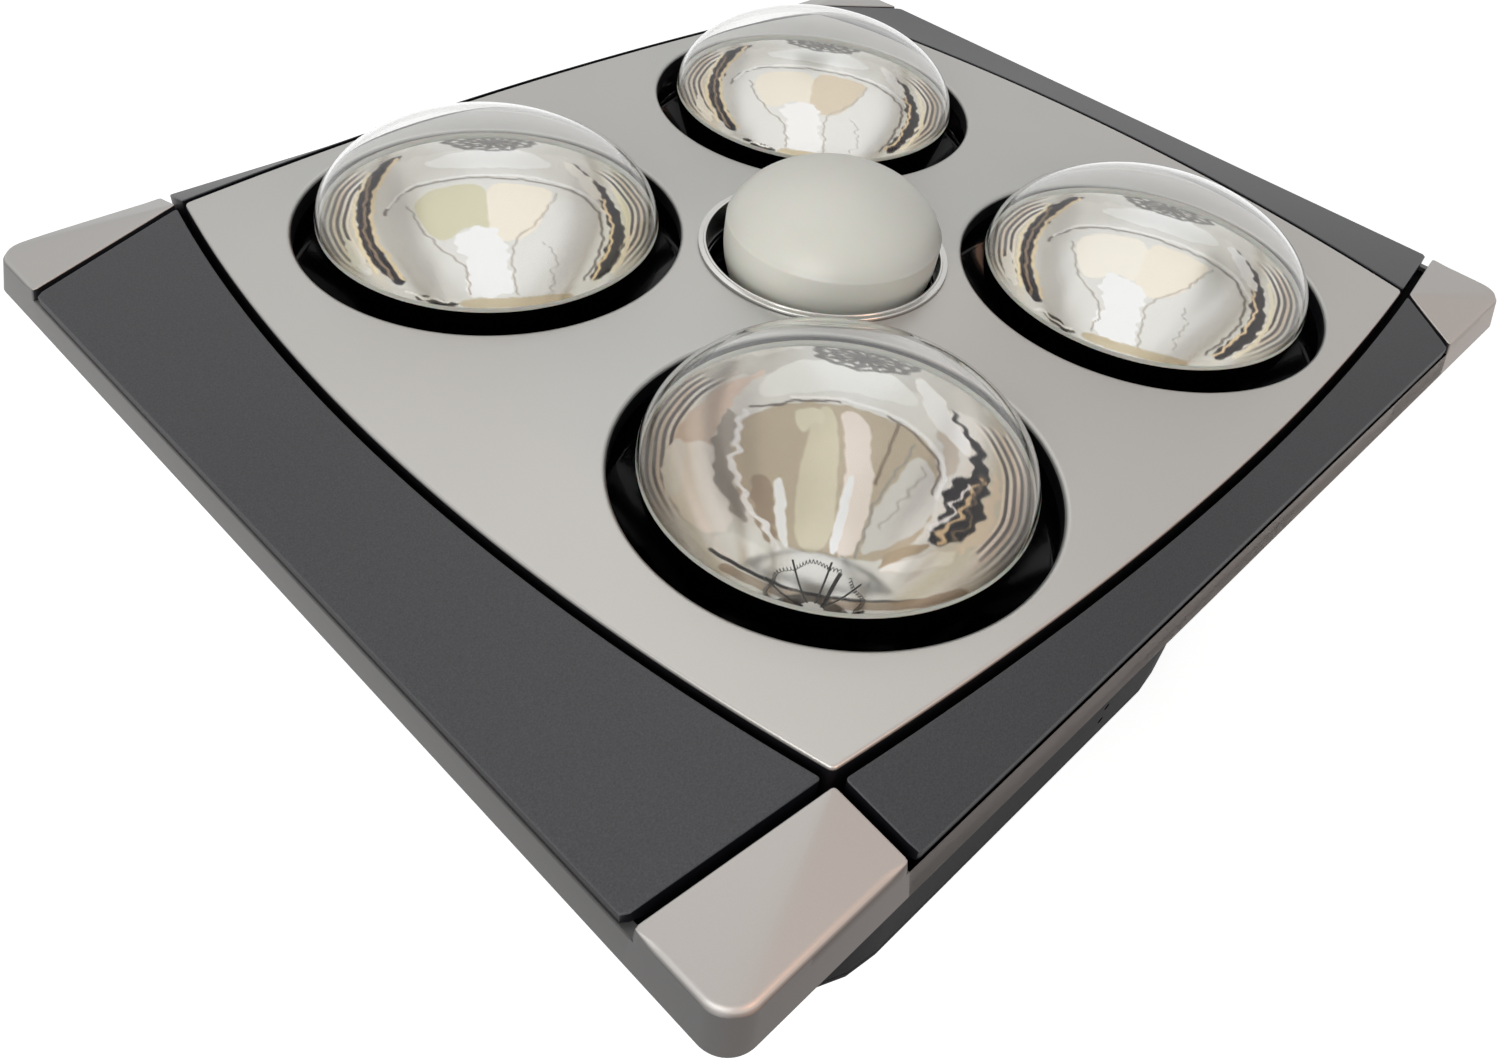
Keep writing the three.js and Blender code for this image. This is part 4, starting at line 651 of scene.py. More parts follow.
def buildKite():
    size = frameForm
    radius = size["cornerRadius"]
    angle = np.linspace(0, math.pi / 2, size["kiteArcCount"])
    arc = halfEdge - radius + radius * np.stack([np.cos(angle), np.sin(angle)], 1)
    outer = np.concatenate([[kiteShort], arc, [kiteLong]])
    paths = [np.stack([kitePeak, kiteShort]), outer, np.stack([kiteLong, kitePeak])]
    loop = joinedLoop(paths, [size["cornerTrim"]] * 3, size["kiteCounts"])
    ridge = unit(halfEdge - kitePeak)
    meets = arc[np.argmin(np.abs((arc - kitePeak) @ np.array([-ridge[1], ridge[0]])))]
    measure = (meets - (halfEdge - radius)) / radius

    def onRidge(first, second):
        along = ((first + second) / 2 - kitePeak) @ measure / (ridge @ measure)
        return kitePeak + along[:, None] * ridge

    def roundAt(plan):
        return size["grooveRound"] + (size["eaveRound"] - size["grooveRound"]) * eaveShare(plan)

    def footAt(plan):
        return ledgeTop - size["ledgeThickness"] * (eaveShare(plan) < size["grooveFoot"])

    return lidPoints(loop, measure, size["stations"], kiteHeight, roundAt, footAt, onRidge, kiteLean)


# Points of a rounded rectangle from +X on, counter-clockwise: an arc for each corner, then points
# of a straight run. They have the same places at every level, so levels can be joined. The run on
# -Y comes out the wrong way round.
def rectangleLoop(half, radius, places, steps):
    angle = np.linspace(0, math.pi / 2, steps + 1)
    arc = np.stack([np.cos(angle), np.sin(angle)], 1) * radius
    parts = []
    for quarter, sign in enumerate([(1, 1), (-1, 1), (-1, -1), (1, -1)]):
        turn = quarter * math.pi / 2
        turned = arc @ np.array([[math.cos(turn), math.sin(turn)], [-math.sin(turn), math.cos(turn)]])
        parts.append(turned + np.array(sign) * (half - radius))
        axis = quarter % 2
        run = np.tile(np.array(sign) * half, (len(places[axis]), 1))
        run[:, axis] = places[axis] if quarter == 3 else places[axis][::-1]
        parts.append(run)
    return np.concatenate(parts)


# The rim's section as levels of inset and height. The rounding under the side panels is a quarter
# circle whose radius is 0 beside the kites, so each level is worked out with and without it.
def buildRim():
    size = frameForm
    low, inner = fasciaLow[2], ledgeTop - size["ledgeThickness"]
    ends = np.array([size["endOnLongSide"], size["endOnShortSide"]])
    step = size["endStepShare"]
    places = [end * np.array([-1, step - 1, 1 - step, 1]) for end in ends]
    foot = size["footRound"]
    levels = [(size["wall"], low, False), (foot, low, False), (0.0, low + foot, False)]
    levels += [(inset, -drop, True) for inset, drop in quarterRound(1.0, size["lowSteps"])]
    levels += [(size["ledgeWidth"], ledgeTop, False), (size["ledgeWidth"], inner, False)]
    levels += [(size["wall"], inner, False)]
    widest = rectangleLoop(halfLow, size["cornerRadius"], places, size["arcSteps"])
    onSide = (np.abs(widest) < ends * (1 - step / 2)).any(1)
    rings = []
    for inset, height, isRound in levels:
        options = []
        for radius in (size["lowRound"], 0.0):
            inward = inset * radius if isRound else inset
            level = ledgeTop + height * radius if isRound else height
            half = halfLow - inward - leanRate * (level - low)
            plan = rectangleLoop(half, size["cornerRadius"] - inward, places, size["arcSteps"])
            options.append(np.column_stack([plan, np.full(len(plan), level)]))
        rings.append(np.where(onSide[:, None], *options))
    return np.stack(rings)


# Painted shade on the outer walls: a share of black that stands in for the shade on them. It is highest at
# the corner (-X, -Y) and fades along both sides, more so on the front.
def rimShade(points):
    size = frameForm
    start, full = size["frontBand"]
    front = softStep(-points[..., 1], halfLow[1] - start, halfLow[1] - full) * (points[..., 1] < 0)
    low, high = size["fadeSpan"]
    along = np.clip((points[..., 0] + points[..., 1] - low) / (high - low), 0, 1)
    return size["wallShade"] - (size["fade"] + size["frontFade"] * front) * along


# The rim is a closed section carried round the rectangle; the four kites stand on its corners
def buildFasciaFrame():
    size = frameForm
    rim = buildRim()
    kite, kiteShade = buildKite()
    points, paintedShade = [rim.reshape(-1, 3)], [rimShade(rim).ravel()]
    faces = gridFaces(*rim.shape[:2], closedRows=True)
    # Painted shade on the kites' walls: black in the grooves, elsewhere a black that fades out over the
    # lowest rows and follows rimShade
    firstRow, lastRow = size["fadeRows"]
    fade = np.clip((lastRow - np.arange(len(kite))) / (lastRow - firstRow), 0, 1)[:, None] * size["wallShade"]
    onGroove = (eaveShare(kite[1, :, :2]) < size["grooveShade"])[None, :]
    black = np.where(onGroove, kiteShade, fade)
    start = rim[..., 0].size
    for x, y in corners.values():
        placed = kite * np.array([x, y, 1.0])
        points.append(placed.reshape(-1, 3))
        faces += gridFaces(*kite.shape[:2], first=start)
        paintedShade.append(np.where(black < 1, black * rimShade(placed) / size["wallShade"], black).ravel())
        start += black.size
    mesh = makeMesh("fascia_frame_painted", np.concatenate(points), faces, wall=np.concatenate(paintedShade))
    addPiece("fascia_frame_painted", mesh, "silver_paint", ["fascia_frame"], smoothAngle=28)


buildFasciaFrame()
print("fascia frame built")


sidePanels = {
    "peakDrop": 0.8,
    "setback": 0.6,
    "edgeRound": 0.55,
    "cornerTrim": 1.5,
    "footOnLedge": 193.3,
    "footOnTray": 191.0,
    "stations": 120,
    "arcCount": 200,
    "counts": (400, 120, 400, 120),
}


# Plan of a side panel in (outward, along): an arc beside the centre panel, two slanted ends
# beside the kites and a straight outer edge
def sidePanelPaths(radius, centre, peak, end, outer):
    ahead = unit(end - peak)
    start = peak + np.array([ahead[1], -ahead[0]]) * frameForm["groove"]
    toCentre = start - np.array([centre, 0.0])
    half = toCentre @ ahead
    tip = start + ahead * (-half + math.sqrt(half ** 2 - toCentre @ toCentre + radius ** 2))
    far = start + ahead * (outer - start[0]) / ahead[0]
    reach = math.asin(tip[1] / radius)
    angle = np.linspace(reach, -reach, sidePanels["arcCount"])
    arc = np.stack([centre + radius * np.cos(angle), radius * np.sin(angle)], 1)
    lowTip, lowFar = tip * [1, -1], far * [1, -1]
    return [arc, np.stack([lowTip, lowFar]), np.stack([lowFar, far]), np.stack([far, tip])]


# Height falls evenly from the arc to the outer edge: height = high + (low - high) share
def buildSidePanel(side, kind, peak, end, outer, place):
    size = sidePanels
    radius, centre = arcs["radius" + kind] + frameForm["groove"], arcs["centre" + kind]
    paths = sidePanelPaths(radius, centre, peak, end, outer)
    loop = joinedLoop(paths, [size["cornerTrim"]] * 4, size["counts"])
    high, low = panelTop - size["peakDrop"], edgeHeight

    def heightAt(plan):
        inside = centre + np.sqrt(radius ** 2 - np.minimum(np.abs(plan[:, 1]), radius - 1) ** 2)
        return high + (low - high) * (plan[:, 0] - inside) / (outer - inside)

    def footAt(plan):
        return np.where(plan[:, 0] > outer - frameForm["ledgeWidth"], size["footOnLedge"], size["footOnTray"])

    def roundAt(plan):
        return np.full(len(plan), size["edgeRound"])

    def midway(first, second):
        return (first + second) / 2

    points, paintedShade = lidPoints(loop, np.array([0.0, 1.0]), size["stations"], heightAt, roundAt, footAt, midway)
    points = np.concatenate([points[..., :2] @ np.array(place).T, points[..., 2:]], -1)
    mesh = makeMesh(f"side_panel_{side}_plate", points, gridFaces(*points.shape[:2]), wall=paintedShade)
    addPiece(f"side_panel_{side}_plate", mesh, "gunmetal", [f"side_panel_{side}"], smoothAngle=28)


outerEdges = halfLow - leanRate * (ledgeTop - fasciaLow[2]) - sidePanels["setback"]
sideViews = {
    "right": ("X", kitePeak, kiteShort, outerEdges[0], [[1, 0], [0, 1]]),
    "left": ("X", kitePeak, kiteShort, outerEdges[0], [[-1, 0], [0, 1]]),
    "back": ("Y", kitePeak[::-1], kiteLong[::-1], outerEdges[1], [[0, 1], [1, 0]]),
    "front": ("Y", kitePeak[::-1], kiteLong[::-1], outerEdges[1], [[0, 1], [-1, 0]]),
}
for side, view in sideViews.items():
    buildSidePanel(side, *view)
print("side panels built")


lightRing = {
    "inner": 45.1,
    "outer": 48.2,
    "tube": 46.5,
    "low": 198.0,
    "under": 208.3,
    "bandTop": 209.35,
    "beadTop": 209.8,
    "beadWidth": 1.1,
    "trims": (0.2, 0.2, 0.2, 0.12, 0.4, 0.12, 0.4, 0.5),
    "steps": 192,
}


# A short tube with a flat band on it and a bead round its mouth
def buildLightRing():
    size = lightRing
    inner, tube, bead, outer = size["inner"], size["tube"], size["inner"] + size["beadWidth"], size["outer"]
    profile = roundedProfile([
        (inner, size["low"]), (tube, size["low"]), (tube, size["under"]), (outer, size["under"]),
        (outer, size["bandTop"]), (bead, size["bandTop"]), (bead, size["beadTop"]), (inner, size["beadTop"]),
    ], size["trims"])
    mesh = turnedMesh("light_ring_trim", profile, size["steps"])
    addPiece("light_ring_trim", mesh, "bright_silver", ["light_ring"])


buildLightRing()


wells = {
    "wall": 1.4,
    "steps": 160,
    "flangeLow": 186.3,
    "capHole": 14.5,
    "outsideBend": (1.5, 0.012),           # how far in the floor's edge starts, and its share of the cone
    "insideBend": (2.5, 0.6, 1.6),         # the same bend inside: how far in, how far out, how high
    "throat": ((0.1, 0.2), (0.3, 0.9)),    # out and up from the cone's inner edge
    "collarBend": (0.6, 0.1, 1.5),         # up outside, in and up inside
    "slotRow": 3,
    "lamp": {
        "top": 200.0, "collar": 75.2, "cone": 73.4, "flange": 78.0, "floor": 31.0, "floorLow": 84.0,
        "slots": 4, "slotWidth": 20.0, "slotSpan": (96.0, 132.0),
    },
    "centre": {
        "top": 197.0, "collar": 45.6, "cone": 43.6, "flange": 47.4, "floor": 27.0, "floorLow": 151.0,
        "slots": 0, "slotWidth": 0.0, "slotSpan": (160.0, 170.0),
    },
}


# The outer and inner lines of a well, from the hole in its floor out, up the cone and up the
# collar. They have as many points as each other, so cells can be left out of both for a slot.
# On the cone: radius = floor + share (cone - floor), height = foot + share (flange - foot).
def buildWell(node, form, centre):
    size = wells
    wall, low, steps, slotRow = size["wall"], size["flangeLow"], size["steps"], size["slotRow"]
    floor, cone, collar, foot = form["floor"], form["cone"], form["collar"], form["floorLow"]

    def onCone(share, inset=0.0):
        return (floor + (cone - floor) * share - inset, foot + (low - foot) * share)

    start, startShare = size["outsideBend"]
    bendIn, bendOut, bendUp = size["insideBend"]
    collarUp, innerIn, innerUp = size["collarBend"]
    slotLow, slotHigh = ((height - foot) / (low - foot) for height in form["slotSpan"])
    outside = [
        (size["capHole"], foot), (floor - start, foot), onCone(startShare), onCone(slotLow), onCone(slotHigh),
        onCone(1.0), (form["flange"], low), (form["flange"], low + wall), (collar, low + wall + collarUp),
        (collar, form["top"]),
    ]
    inside = [
        (size["capHole"], foot + wall), (floor - wall - bendIn, foot + wall),
        (floor - wall + bendOut, foot + wall + bendUp),
        *(onCone(share, wall) for share in (slotLow, slotHigh, 1.0)),
        *((cone - wall + out, low + up) for out, up in size["throat"]),
        (collar - wall - innerIn, low + wall + innerUp), (collar - wall, form["top"]),
    ]
    rows = len(outside)
    offset = rows * steps
    index = np.arange(offset).reshape(rows, steps)
    keep = np.ones((rows - 1, steps), bool)
    if form["slots"]:
        half = form["slotWidth"] / 2 / onCone((slotLow + slotHigh) / 2)[0]
        angle = (np.arange(steps) + 0.5) * 2 * math.pi / steps
        turn = 2 * math.pi / form["slots"]
        keep[slotRow] = np.abs((angle + turn / 2) % turn - turn / 2) > half
    row, column = np.nonzero(keep)
    aside = (column + 1) % steps
    quads = [index[row, column], index[row, aside], index[row + 1, aside], index[row + 1, column]]
    outer = np.stack(quads, 1)
    faces = outer.tolist() + (outer[:, ::-1] + offset).tolist()
    gone = np.nonzero(~keep[slotRow])[0]
    after = (gone + 1) % steps
    starts, ends = gone[keep[slotRow, gone - 1]], after[keep[slotRow, after]]
    joins = [(index[edge], np.roll(index[edge], -1)) for edge in (0, rows - 1)]
    joins += [(index[edge, gone], index[edge, after]) for edge in (slotRow, slotRow + 1)]
    joins += [(index[slotRow, place], index[slotRow + 1, place]) for place in (starts, ends)]
    for first, second in joins:
        faces += np.stack([first, second, second + offset, first + offset], 1).tolist()
    points = np.stack([turnedPoints(line, steps, centre) for line in (outside, inside)])
    mesh = makeMesh(node + "_cup", points, faces)
    addPiece(node + "_cup", mesh, "gloss_black", [node], smoothAngle=32)


for corner, centre in lampCentres.items():
    buildWell(f"lamp_well_{corner}", wells["lamp"], centre)
buildWell("centre_well", wells["centre"], (0.0, 0.0))
print("ring and wells built")


heatLamp = {
    "radius": 62.5,
    "equator": 210.3,
    "domeRise": 32.2,
    "domeGap": 0.1,
    "glass": 1.0,
    "bowlDepth": 82.0,
    "bowlGap": 0.05,
    "flare": 1.6,
    "waist": 1.15,
    "neck": 18.0,
    "neckEnd": 13.0,
    "neckTaper": 8.0,
    "neckFoot": 86.8,
    "steps": 240,
    "domeRows": 40,
    "bowlRows": 165,
    "outerRows": 26,
    "rowSpread": 1.2,
    "bowlSteps": 480,
    "seamRadius": 61.8,
    "seamTube": (0.65, 1.25),
    "seamSides": 16,
    "wave": 0.03,
    "waveCounts": (4, 7, 11, 17),
    "waveTwist": (0.3, 6.0),
    "waveEnds": (0.02, 0.98),
    "waveFade": 0.7,
    "outerTint": 0.02,
    "darkRows": 28,
}


# Radius of the bowl, where share runs from 0 at the rim to 1 at the neck:
# r = neck + (rim - neck) (1 - share^flare)^waist
def bowlRadius(share, rim):
    size = heatLamp
    return size["neck"] + (rim - size["neck"]) * (1 - share ** size["flare"]) ** size["waist"]


# Quarter ellipse from the rim to the crown: r = R cos a, z = base + rise sin a
def domeLine(radius, rise, base, rows):
    angle = np.linspace(0, math.pi / 2, rows)
    return np.stack([radius * np.cos(angle), base + rise * np.sin(angle)], 1)


# Sum of sine waves with seeded phases, about -1 to 1. Each later one is a little weaker.
def waves(places, frequencies, random, weaker=0.08):
    phases = random.uniform(0, 2 * math.pi, len(frequencies))
    pairs = enumerate(zip(frequencies, phases))
    return sum(np.sin(k * places + p) / (1 + weaker * n) for n, (k, p) in pairs) / math.sqrt(len(frequencies))


# Painted reflections: what a silvered bowl mirrors, drawn on the disc of its rim. u runs across and w toward
# the far side, both from -1 to 1, and "faces" is the far side's angle. A bowl point takes the painted colour
# where a line that leans at "slant" meets the disc. A width of 0 fills an outline, else it is a stroke.
# Each row is (width, painted colour, shake, points) and each hoop (radius, half width, painted colour), 0 to
# 255.
mirrorDrawing = {
    "faces": {"front_left": 35, "front_right": 22, "back_left": 56, "back_right": 40},
    "slant": {"front_left": 41, "front_right": 29, "back_left": 31, "back_right": 25},
    "reach": {"front_left": 6.0, "front_right": 8.0, "back_left": 7.6, "back_right": 9.2},
    "base": (205, 203, 196),
    "hidden": (255, 255, 254),
    "hiddenFade": 0.08,
    "soft": 0.012,
    "margin": 0.02,
    "lift": 1.6,
    "greyShare": 0.28,
    "front": [
        (0, (187, 185, 178), 0.02, [
            (-0.9, 0.4), (-0.5, 0.84), (0.1, 1.02), (0.6, 0.8), (0.9, 0.4), (0.5, 0.62), (0, 0.78),
            (-0.5, 0.6)]),
        (0, (219, 219, 213), 0.008, [
            (-0.52, 0.36), (-0.44, 0.67), (-0.26, 0.82), (0.15, 0.86), (0.36, 0.62), (0.35, 0.55),
            (0.11, 0.58), (-0.17, 0.56)]),
        (0, (212, 188, 172), 0.01, [
            (-0.44, 0.7), (-0.55, 0.5), (-0.63, 0.2), (-0.65, -0.02), (-0.62, -0.16), (-0.86, -0.1),
            (-0.80, 0.18), (-0.67, 0.45)]),
        (0, (240, 218, 208), 0.012, [
            (-0.63, -0.02), (-0.59, -0.23), (-0.43, -0.53), (-0.46, -0.63), (-0.59, -0.66),
            (-0.73, -0.53), (-0.82, -0.32), (-0.86, -0.07)]),
        (0, (255, 255, 254), 0.006, [
            (-0.84, -0.05), (-0.77, -0.03), (-0.71, -0.4), (-0.77, -0.51), (-0.83, -0.3)]),
        (0, (160, 154, 146), 0.018, [
            (-0.62, 0.25), (-0.55, 0.24), (-0.54, 0.0), (-0.5, -0.24), (-0.35, -0.5), (-0.43, -0.55),
            (-0.6, -0.2), (-0.65, -0.02)]),
        (0, (178, 163, 138), 0.008, [
            (-0.55, 0.21), (-0.33, 0.40), (-0.06, 0.47), (0.27, 0.42), (0.45, 0.25), (0.49, 0.1),
            (0.48, -0.1), (0.47, -0.35), (0.3, -0.6), (0.16, -0.64), (-0.16, -0.66), (-0.36, -0.5),
            (-0.49, -0.24), (-0.53, 0.0)]),
        (0, (200, 189, 160), 0.004, [
            (-0.18, 0.41), (-0.07, 0.44), (0.0, 0.0), (0.04, -0.63), (-0.14, -0.65), (-0.19, -0.18)]),
        (0, (206, 197, 168), 0.004, [
            (-0.29, 0.36), (-0.13, 0.41), (-0.12, 0.26), (-0.17, 0.3), (-0.20, 0.16), (-0.26, 0.25)]),
        (0, (158, 139, 116), 0.015, [
            (-0.42, -0.16), (-0.31, -0.2), (-0.25, -0.4), (-0.2, -0.64), (-0.29, -0.58), (-0.37, -0.42)]),
        (0, (224, 203, 189), 0.006, [
            (-0.05, 0.45), (0.115, 0.39), (0.14, 0.1), (0.19, -0.08), (0.17, -0.37), (0.15, -0.63),
            (0.03, -0.63), (0.05, -0.1), (0.0, 0.19)]),
        (0, (255, 254, 250), 0.004, [
            (0.05, -0.08), (0.085, -0.07), (0.08, -0.36), (0.06, -0.63), (0.02, -0.63), (0.035, -0.37)]),
        (0, (255, 252, 248), 0.006, [
            (-0.3, -0.2), (-0.255, -0.18), (-0.2, -0.43), (-0.16, -0.64), (-0.19, -0.65), (-0.27, -0.37)]),
        (0.008, (128, 112, 92), 0.004, [(0.26, 0.39), (0.22, 0.1), (0.19, -0.1)]),
        (0, (196, 193, 186), 0.008, [
            (0.38, 0.22), (0.49, 0.02), (0.49, -0.21), (0.43, -0.4), (0.25, -0.54), (0.16, -0.63),
            (0.18, -0.4), (0.24, -0.16)]),
        (0.007, (150, 144, 136), 0.01, [(0.36, 0.24), (0.23, -0.14), (0.17, -0.42), (0.15, -0.63)]),
        (0.006, (168, 164, 156), 0.02, [(0.42, 0.1), (0.36, -0.1), (0.26, -0.4)]),
        (0.014, (255, 252, 246), 0.02, [
            (-0.53, 0.3), (-0.54, 0.06), (-0.49, -0.2), (-0.36, -0.48), (-0.2, -0.66)]),
        (0.008, (96, 84, 80), 0.012, [(-0.5, 0.3), (-0.3, 0.43), (-0.06, 0.49)]),
        (0.010, (250, 238, 230), 0.006, [
            (-0.3, 0.46), (-0.06, 0.515), (0.26, 0.46), (0.46, 0.28), (0.53, 0.08), (0.5, -0.12)]),
        (0.006, (110, 96, 90), 0.008, [(0.2, 0.45), (0.44, 0.26), (0.5, 0.1), (0.47, -0.1)]),
        (0, (250, 236, 226), 0.012, [
            (0.3, 0.82), (0.39, 0.8), (0.51, 0.61), (0.63, 0.36), (0.65, 0.19), (0.48, 0.4),
            (0.37, 0.61)]),
        (0, (188, 176, 160), 0.012, [
            (0.44, 0.44), (0.56, 0.32), (0.6, 0.16), (0.55, 0.02), (0.51, 0.2)]),
        (0, (232, 208, 194), 0.02, [
            (0.76, 0.2), (0.81, 0.03), (0.78, -0.27), (0.64, -0.49), (0.6, -0.46), (0.73, -0.2),
            (0.76, 0.0)]),
        (0, (46, 44, 50), 0.022, [
            (0.51, 0.63), (0.59, 0.52), (0.7, 0.29), (0.755, 0.11), (0.74, -0.15), (0.62, -0.42),
            (0.46, -0.45), (0.52, -0.2), (0.57, 0.06), (0.66, 0.1), (0.66, 0.24), (0.59, 0.46)]),
        (0.012, (206, 176, 134), 0.03, [(0.68, 0.06), (0.63, -0.18), (0.52, -0.4)]),
        (0.008, (214, 212, 216), 0.03, [(0.63, 0.02), (0.57, -0.2), (0.5, -0.36)]),
        (0.008, (120, 104, 88), 0.03, [(0.72, 0.1), (0.68, -0.14), (0.58, -0.38)]),
        (0, (170, 151, 122), 0.012, [
            (0.22, -0.68), (0.31, -0.53), (0.45, -0.44), (0.5, -0.46), (0.4, -0.56)]),
        (0, (250, 232, 222), 0.01, [
            (0.24, -0.71), (0.35, -0.6), (0.55, -0.47), (0.63, -0.45), (0.59, -0.55), (0.41, -0.65)]),
        (0, (216, 213, 206), 0.01, [
            (-0.52, -0.7), (-0.43, -0.6), (-0.26, -0.67), (-0.2, -0.75), (-0.3, -0.86), (-0.44, -0.82)]),
        (0, (210, 207, 198), 0.01, [
            (0.25, -0.78), (0.45, -0.68), (0.62, -0.56), (0.72, -0.4), (0.72, -0.62), (0.5, -0.82),
            (0.28, -0.9)]),
        (0.012, (38, 34, 36), 0.004, [
            (-0.5, -0.76), (-0.25, -0.88), (0.0, -0.925), (0.3, -0.89), (0.5, -0.82)]),
        (0.03, (160, 144, 126), 0.004, [
            (-0.42, -0.86), (-0.2, -0.94), (0.1, -0.965), (0.4, -0.89), (0.66, -0.73)]),
    ],
    "side": [
        (0, (196, 194, 187), 0.02, [
            (-0.9, 0.4), (-0.5, 0.84), (0.1, 1.02), (0.6, 0.8), (0.9, 0.4), (0.5, 0.7), (0, 0.84),
            (-0.5, 0.7)]),
        (0, (228, 228, 225), 0.008, [
            (-0.44, 0.59), (-0.23, 0.75), (0.02, 0.84), (0.22, 0.8), (0.45, 0.58), (0.2, 0.54),
            (0.0, 0.58), (-0.2, 0.56)]),
        (0, "left part", 0.004, [
            (-0.46, 0.13), (-0.38, 0.28), (-0.25, 0.35), (0.0, 0.39), (0.0, -0.2), (-0.14, -0.1),
            (-0.22, -0.23), (-0.31, -0.28), (-0.39, -0.13)]),
        (0, "right part", 0.004, [
            (-0.02, 0.39), (0.2, 0.37), (0.37, 0.3), (0.385, 0.24), (0.3, -0.05), (0.22, -0.21),
            (0.11, -0.29), (0.0, -0.27), (-0.02, -0.1)]),
        (0, (206, 204, 197), 0.008, [
            (-0.62, 0.06), (-0.48, 0.12), (-0.33, -0.3), (-0.14, -0.54), (-0.16, -0.86), (-0.46, -0.82),
            (-0.6, -0.5)]),
        (0, (208, 206, 200), 0.008, [
            (0.4, 0.24), (0.58, 0.1), (0.65, -0.15), (0.57, -0.54), (0.46, -0.8), (0.1, -0.86),
            (0.07, -0.43), (0.12, -0.3), (0.28, -0.15)]),
        (0, "below", 0.022, [
            (-0.14, -0.12), (0.0, -0.13), (0.06, -0.27), (0.065, -0.43), (0.1, -0.65), (0.1, -0.87),
            (-0.16, -0.87), (-0.15, -0.65), (-0.13, -0.5), (-0.25, -0.32)]),
        (0.006, (158, 150, 140), 0.01, [(-0.48, 0.12), (-0.36, -0.28), (-0.15, -0.52), (-0.15, -0.84)]),
        (0.006, (168, 160, 148), 0.01, [
            (0.4, 0.26), (0.27, -0.1), (0.1, -0.3), (0.1, -0.6), (0.12, -0.85)]),
        (0.005, (174, 170, 162), 0.02, [(0.3, -0.3), (0.36, -0.5), (0.3, -0.8)]),
        (0.008, (126, 118, 112), 0.008, [
            (-0.62, 0.02), (-0.54, 0.26), (-0.34, 0.4), (0.0, 0.46), (0.35, 0.39), (0.56, 0.22),
            (0.67, -0.06), (0.61, -0.44), (0.5, -0.72)]),
        (0.008, (248, 244, 236), 0.006, [
            (-0.6, 0.1), (-0.5, 0.32), (-0.3, 0.44), (0.0, 0.5), (0.35, 0.43), (0.58, 0.26),
            (0.7, -0.02)]),
        (0, (56, 50, 58), 0.010, [
            (-0.5, 0.76), (-0.63, 0.65), (-0.75, 0.41), (-0.78, 0.11), (-0.77, -0.15), (-0.7, -0.43),
            (-0.57, -0.7), (-0.47, -0.73), (-0.6, -0.43), (-0.67, -0.21), (-0.69, 0.04), (-0.66, 0.34),
            (-0.6, 0.58)]),
        (0.012, (236, 204, 160), 0.008, [
            (-0.56, 0.68), (-0.66, 0.36), (-0.7, 0.04), (-0.64, -0.3), (-0.5, -0.66)]),
        (0.008, (150, 128, 104), 0.008, [(-0.7, 0.46), (-0.74, 0.06), (-0.7, -0.3), (-0.56, -0.66)]),
        (0.010, (246, 216, 176), 0.006, [(-0.72, 0.5), (-0.8, 0.1), (-0.76, -0.26), (-0.64, -0.6)]),
        (0, (252, 246, 240), 0.012, [
            (-0.84, -0.2), (-0.78, -0.3), (-0.66, -0.6), (-0.7, -0.64), (-0.82, -0.42)]),
        (0, (58, 52, 58), 0.012, [
            (0.51, 0.64), (0.65, 0.44), (0.75, 0.14), (0.79, -0.13), (0.72, -0.49), (0.61, -0.71),
            (0.51, -0.75), (0.62, -0.49), (0.69, -0.21), (0.69, 0.01), (0.65, 0.24), (0.56, 0.51)]),
        (0, "glare", 0.012, [
            (0.46, 0.64), (0.53, 0.62), (0.66, 0.36), (0.7, 0.12), (0.62, 0.22), (0.52, 0.46)]),
        (0.009, (222, 190, 150), 0.01, [(0.68, 0.16), (0.72, -0.1), (0.66, -0.44), (0.54, -0.7)]),
        (0.012, (248, 222, 190), 0.006, [(0.76, 0.3), (0.82, -0.04), (0.78, -0.4), (0.66, -0.66)]),
        (0, (188, 172, 140), 0.003, [
            (-0.2, -0.86), (0.1, -0.875), (0.42, -0.84), (0.42, -0.92), (0.2, -0.975), (-0.2, -0.975)]),
        (0, (60, 50, 44), 0.02, [
            (-0.46, -0.81), (-0.36, -0.83), (-0.2, -0.93), (-0.25, -0.95), (-0.42, -0.88)]),
        (0.010, (244, 238, 222), 0.02, [(-0.5, -0.8), (-0.38, -0.87), (-0.26, -0.9)]),
    ],
    "parts": {
        "back_left": {
            "left part": (196, 191, 158), "right part": (236, 215, 191),
            "below": (255, 238, 235), "glare": (240, 226, 212),
        },
        "front_right": {
            "left part": (240, 221, 200), "right part": (238, 216, 192),
            "below": (255, 243, 238), "glare": (255, 253, 250),
        },
        "back_right": {
            "left part": (222, 208, 186), "right part": (202, 184, 158),
            "below": (228, 224, 220), "glare": (250, 232, 222),
        },
    },
    "hoops": [
        (0.825, 0.007, (244, 226, 212)), (0.842, 0.009, (74, 66, 74)), (0.860, 0.007, (250, 240, 232)),
        (0.880, 0.010, (96, 88, 96)), (0.900, 0.008, (232, 208, 194)), (0.918, 0.008, (70, 62, 70)),
        (0.938, 0.006, (252, 248, 244)), (0.955, 0.009, (110, 102, 108)), (0.975, 0.006, (240, 224, 214)),
    ],
    "hoopShake": 0.006,
    "hoopSpan": (48.0, 66.0, 112.0, 136.0),
    "reflection": {
        "tint": (64, 60, 60),
        "strength": 0.75,
        "centre": (0.03, 0.89),
        "size": (0.27, 0.095),
        "rings": (1.0, 0.66),
        "ringScale": 1.6,
        "width": 0.016,
        "shake": 0.09,
        "ticks": 7,
        "tickTwist": 0.3,
        "end": 1.3,
    },
}


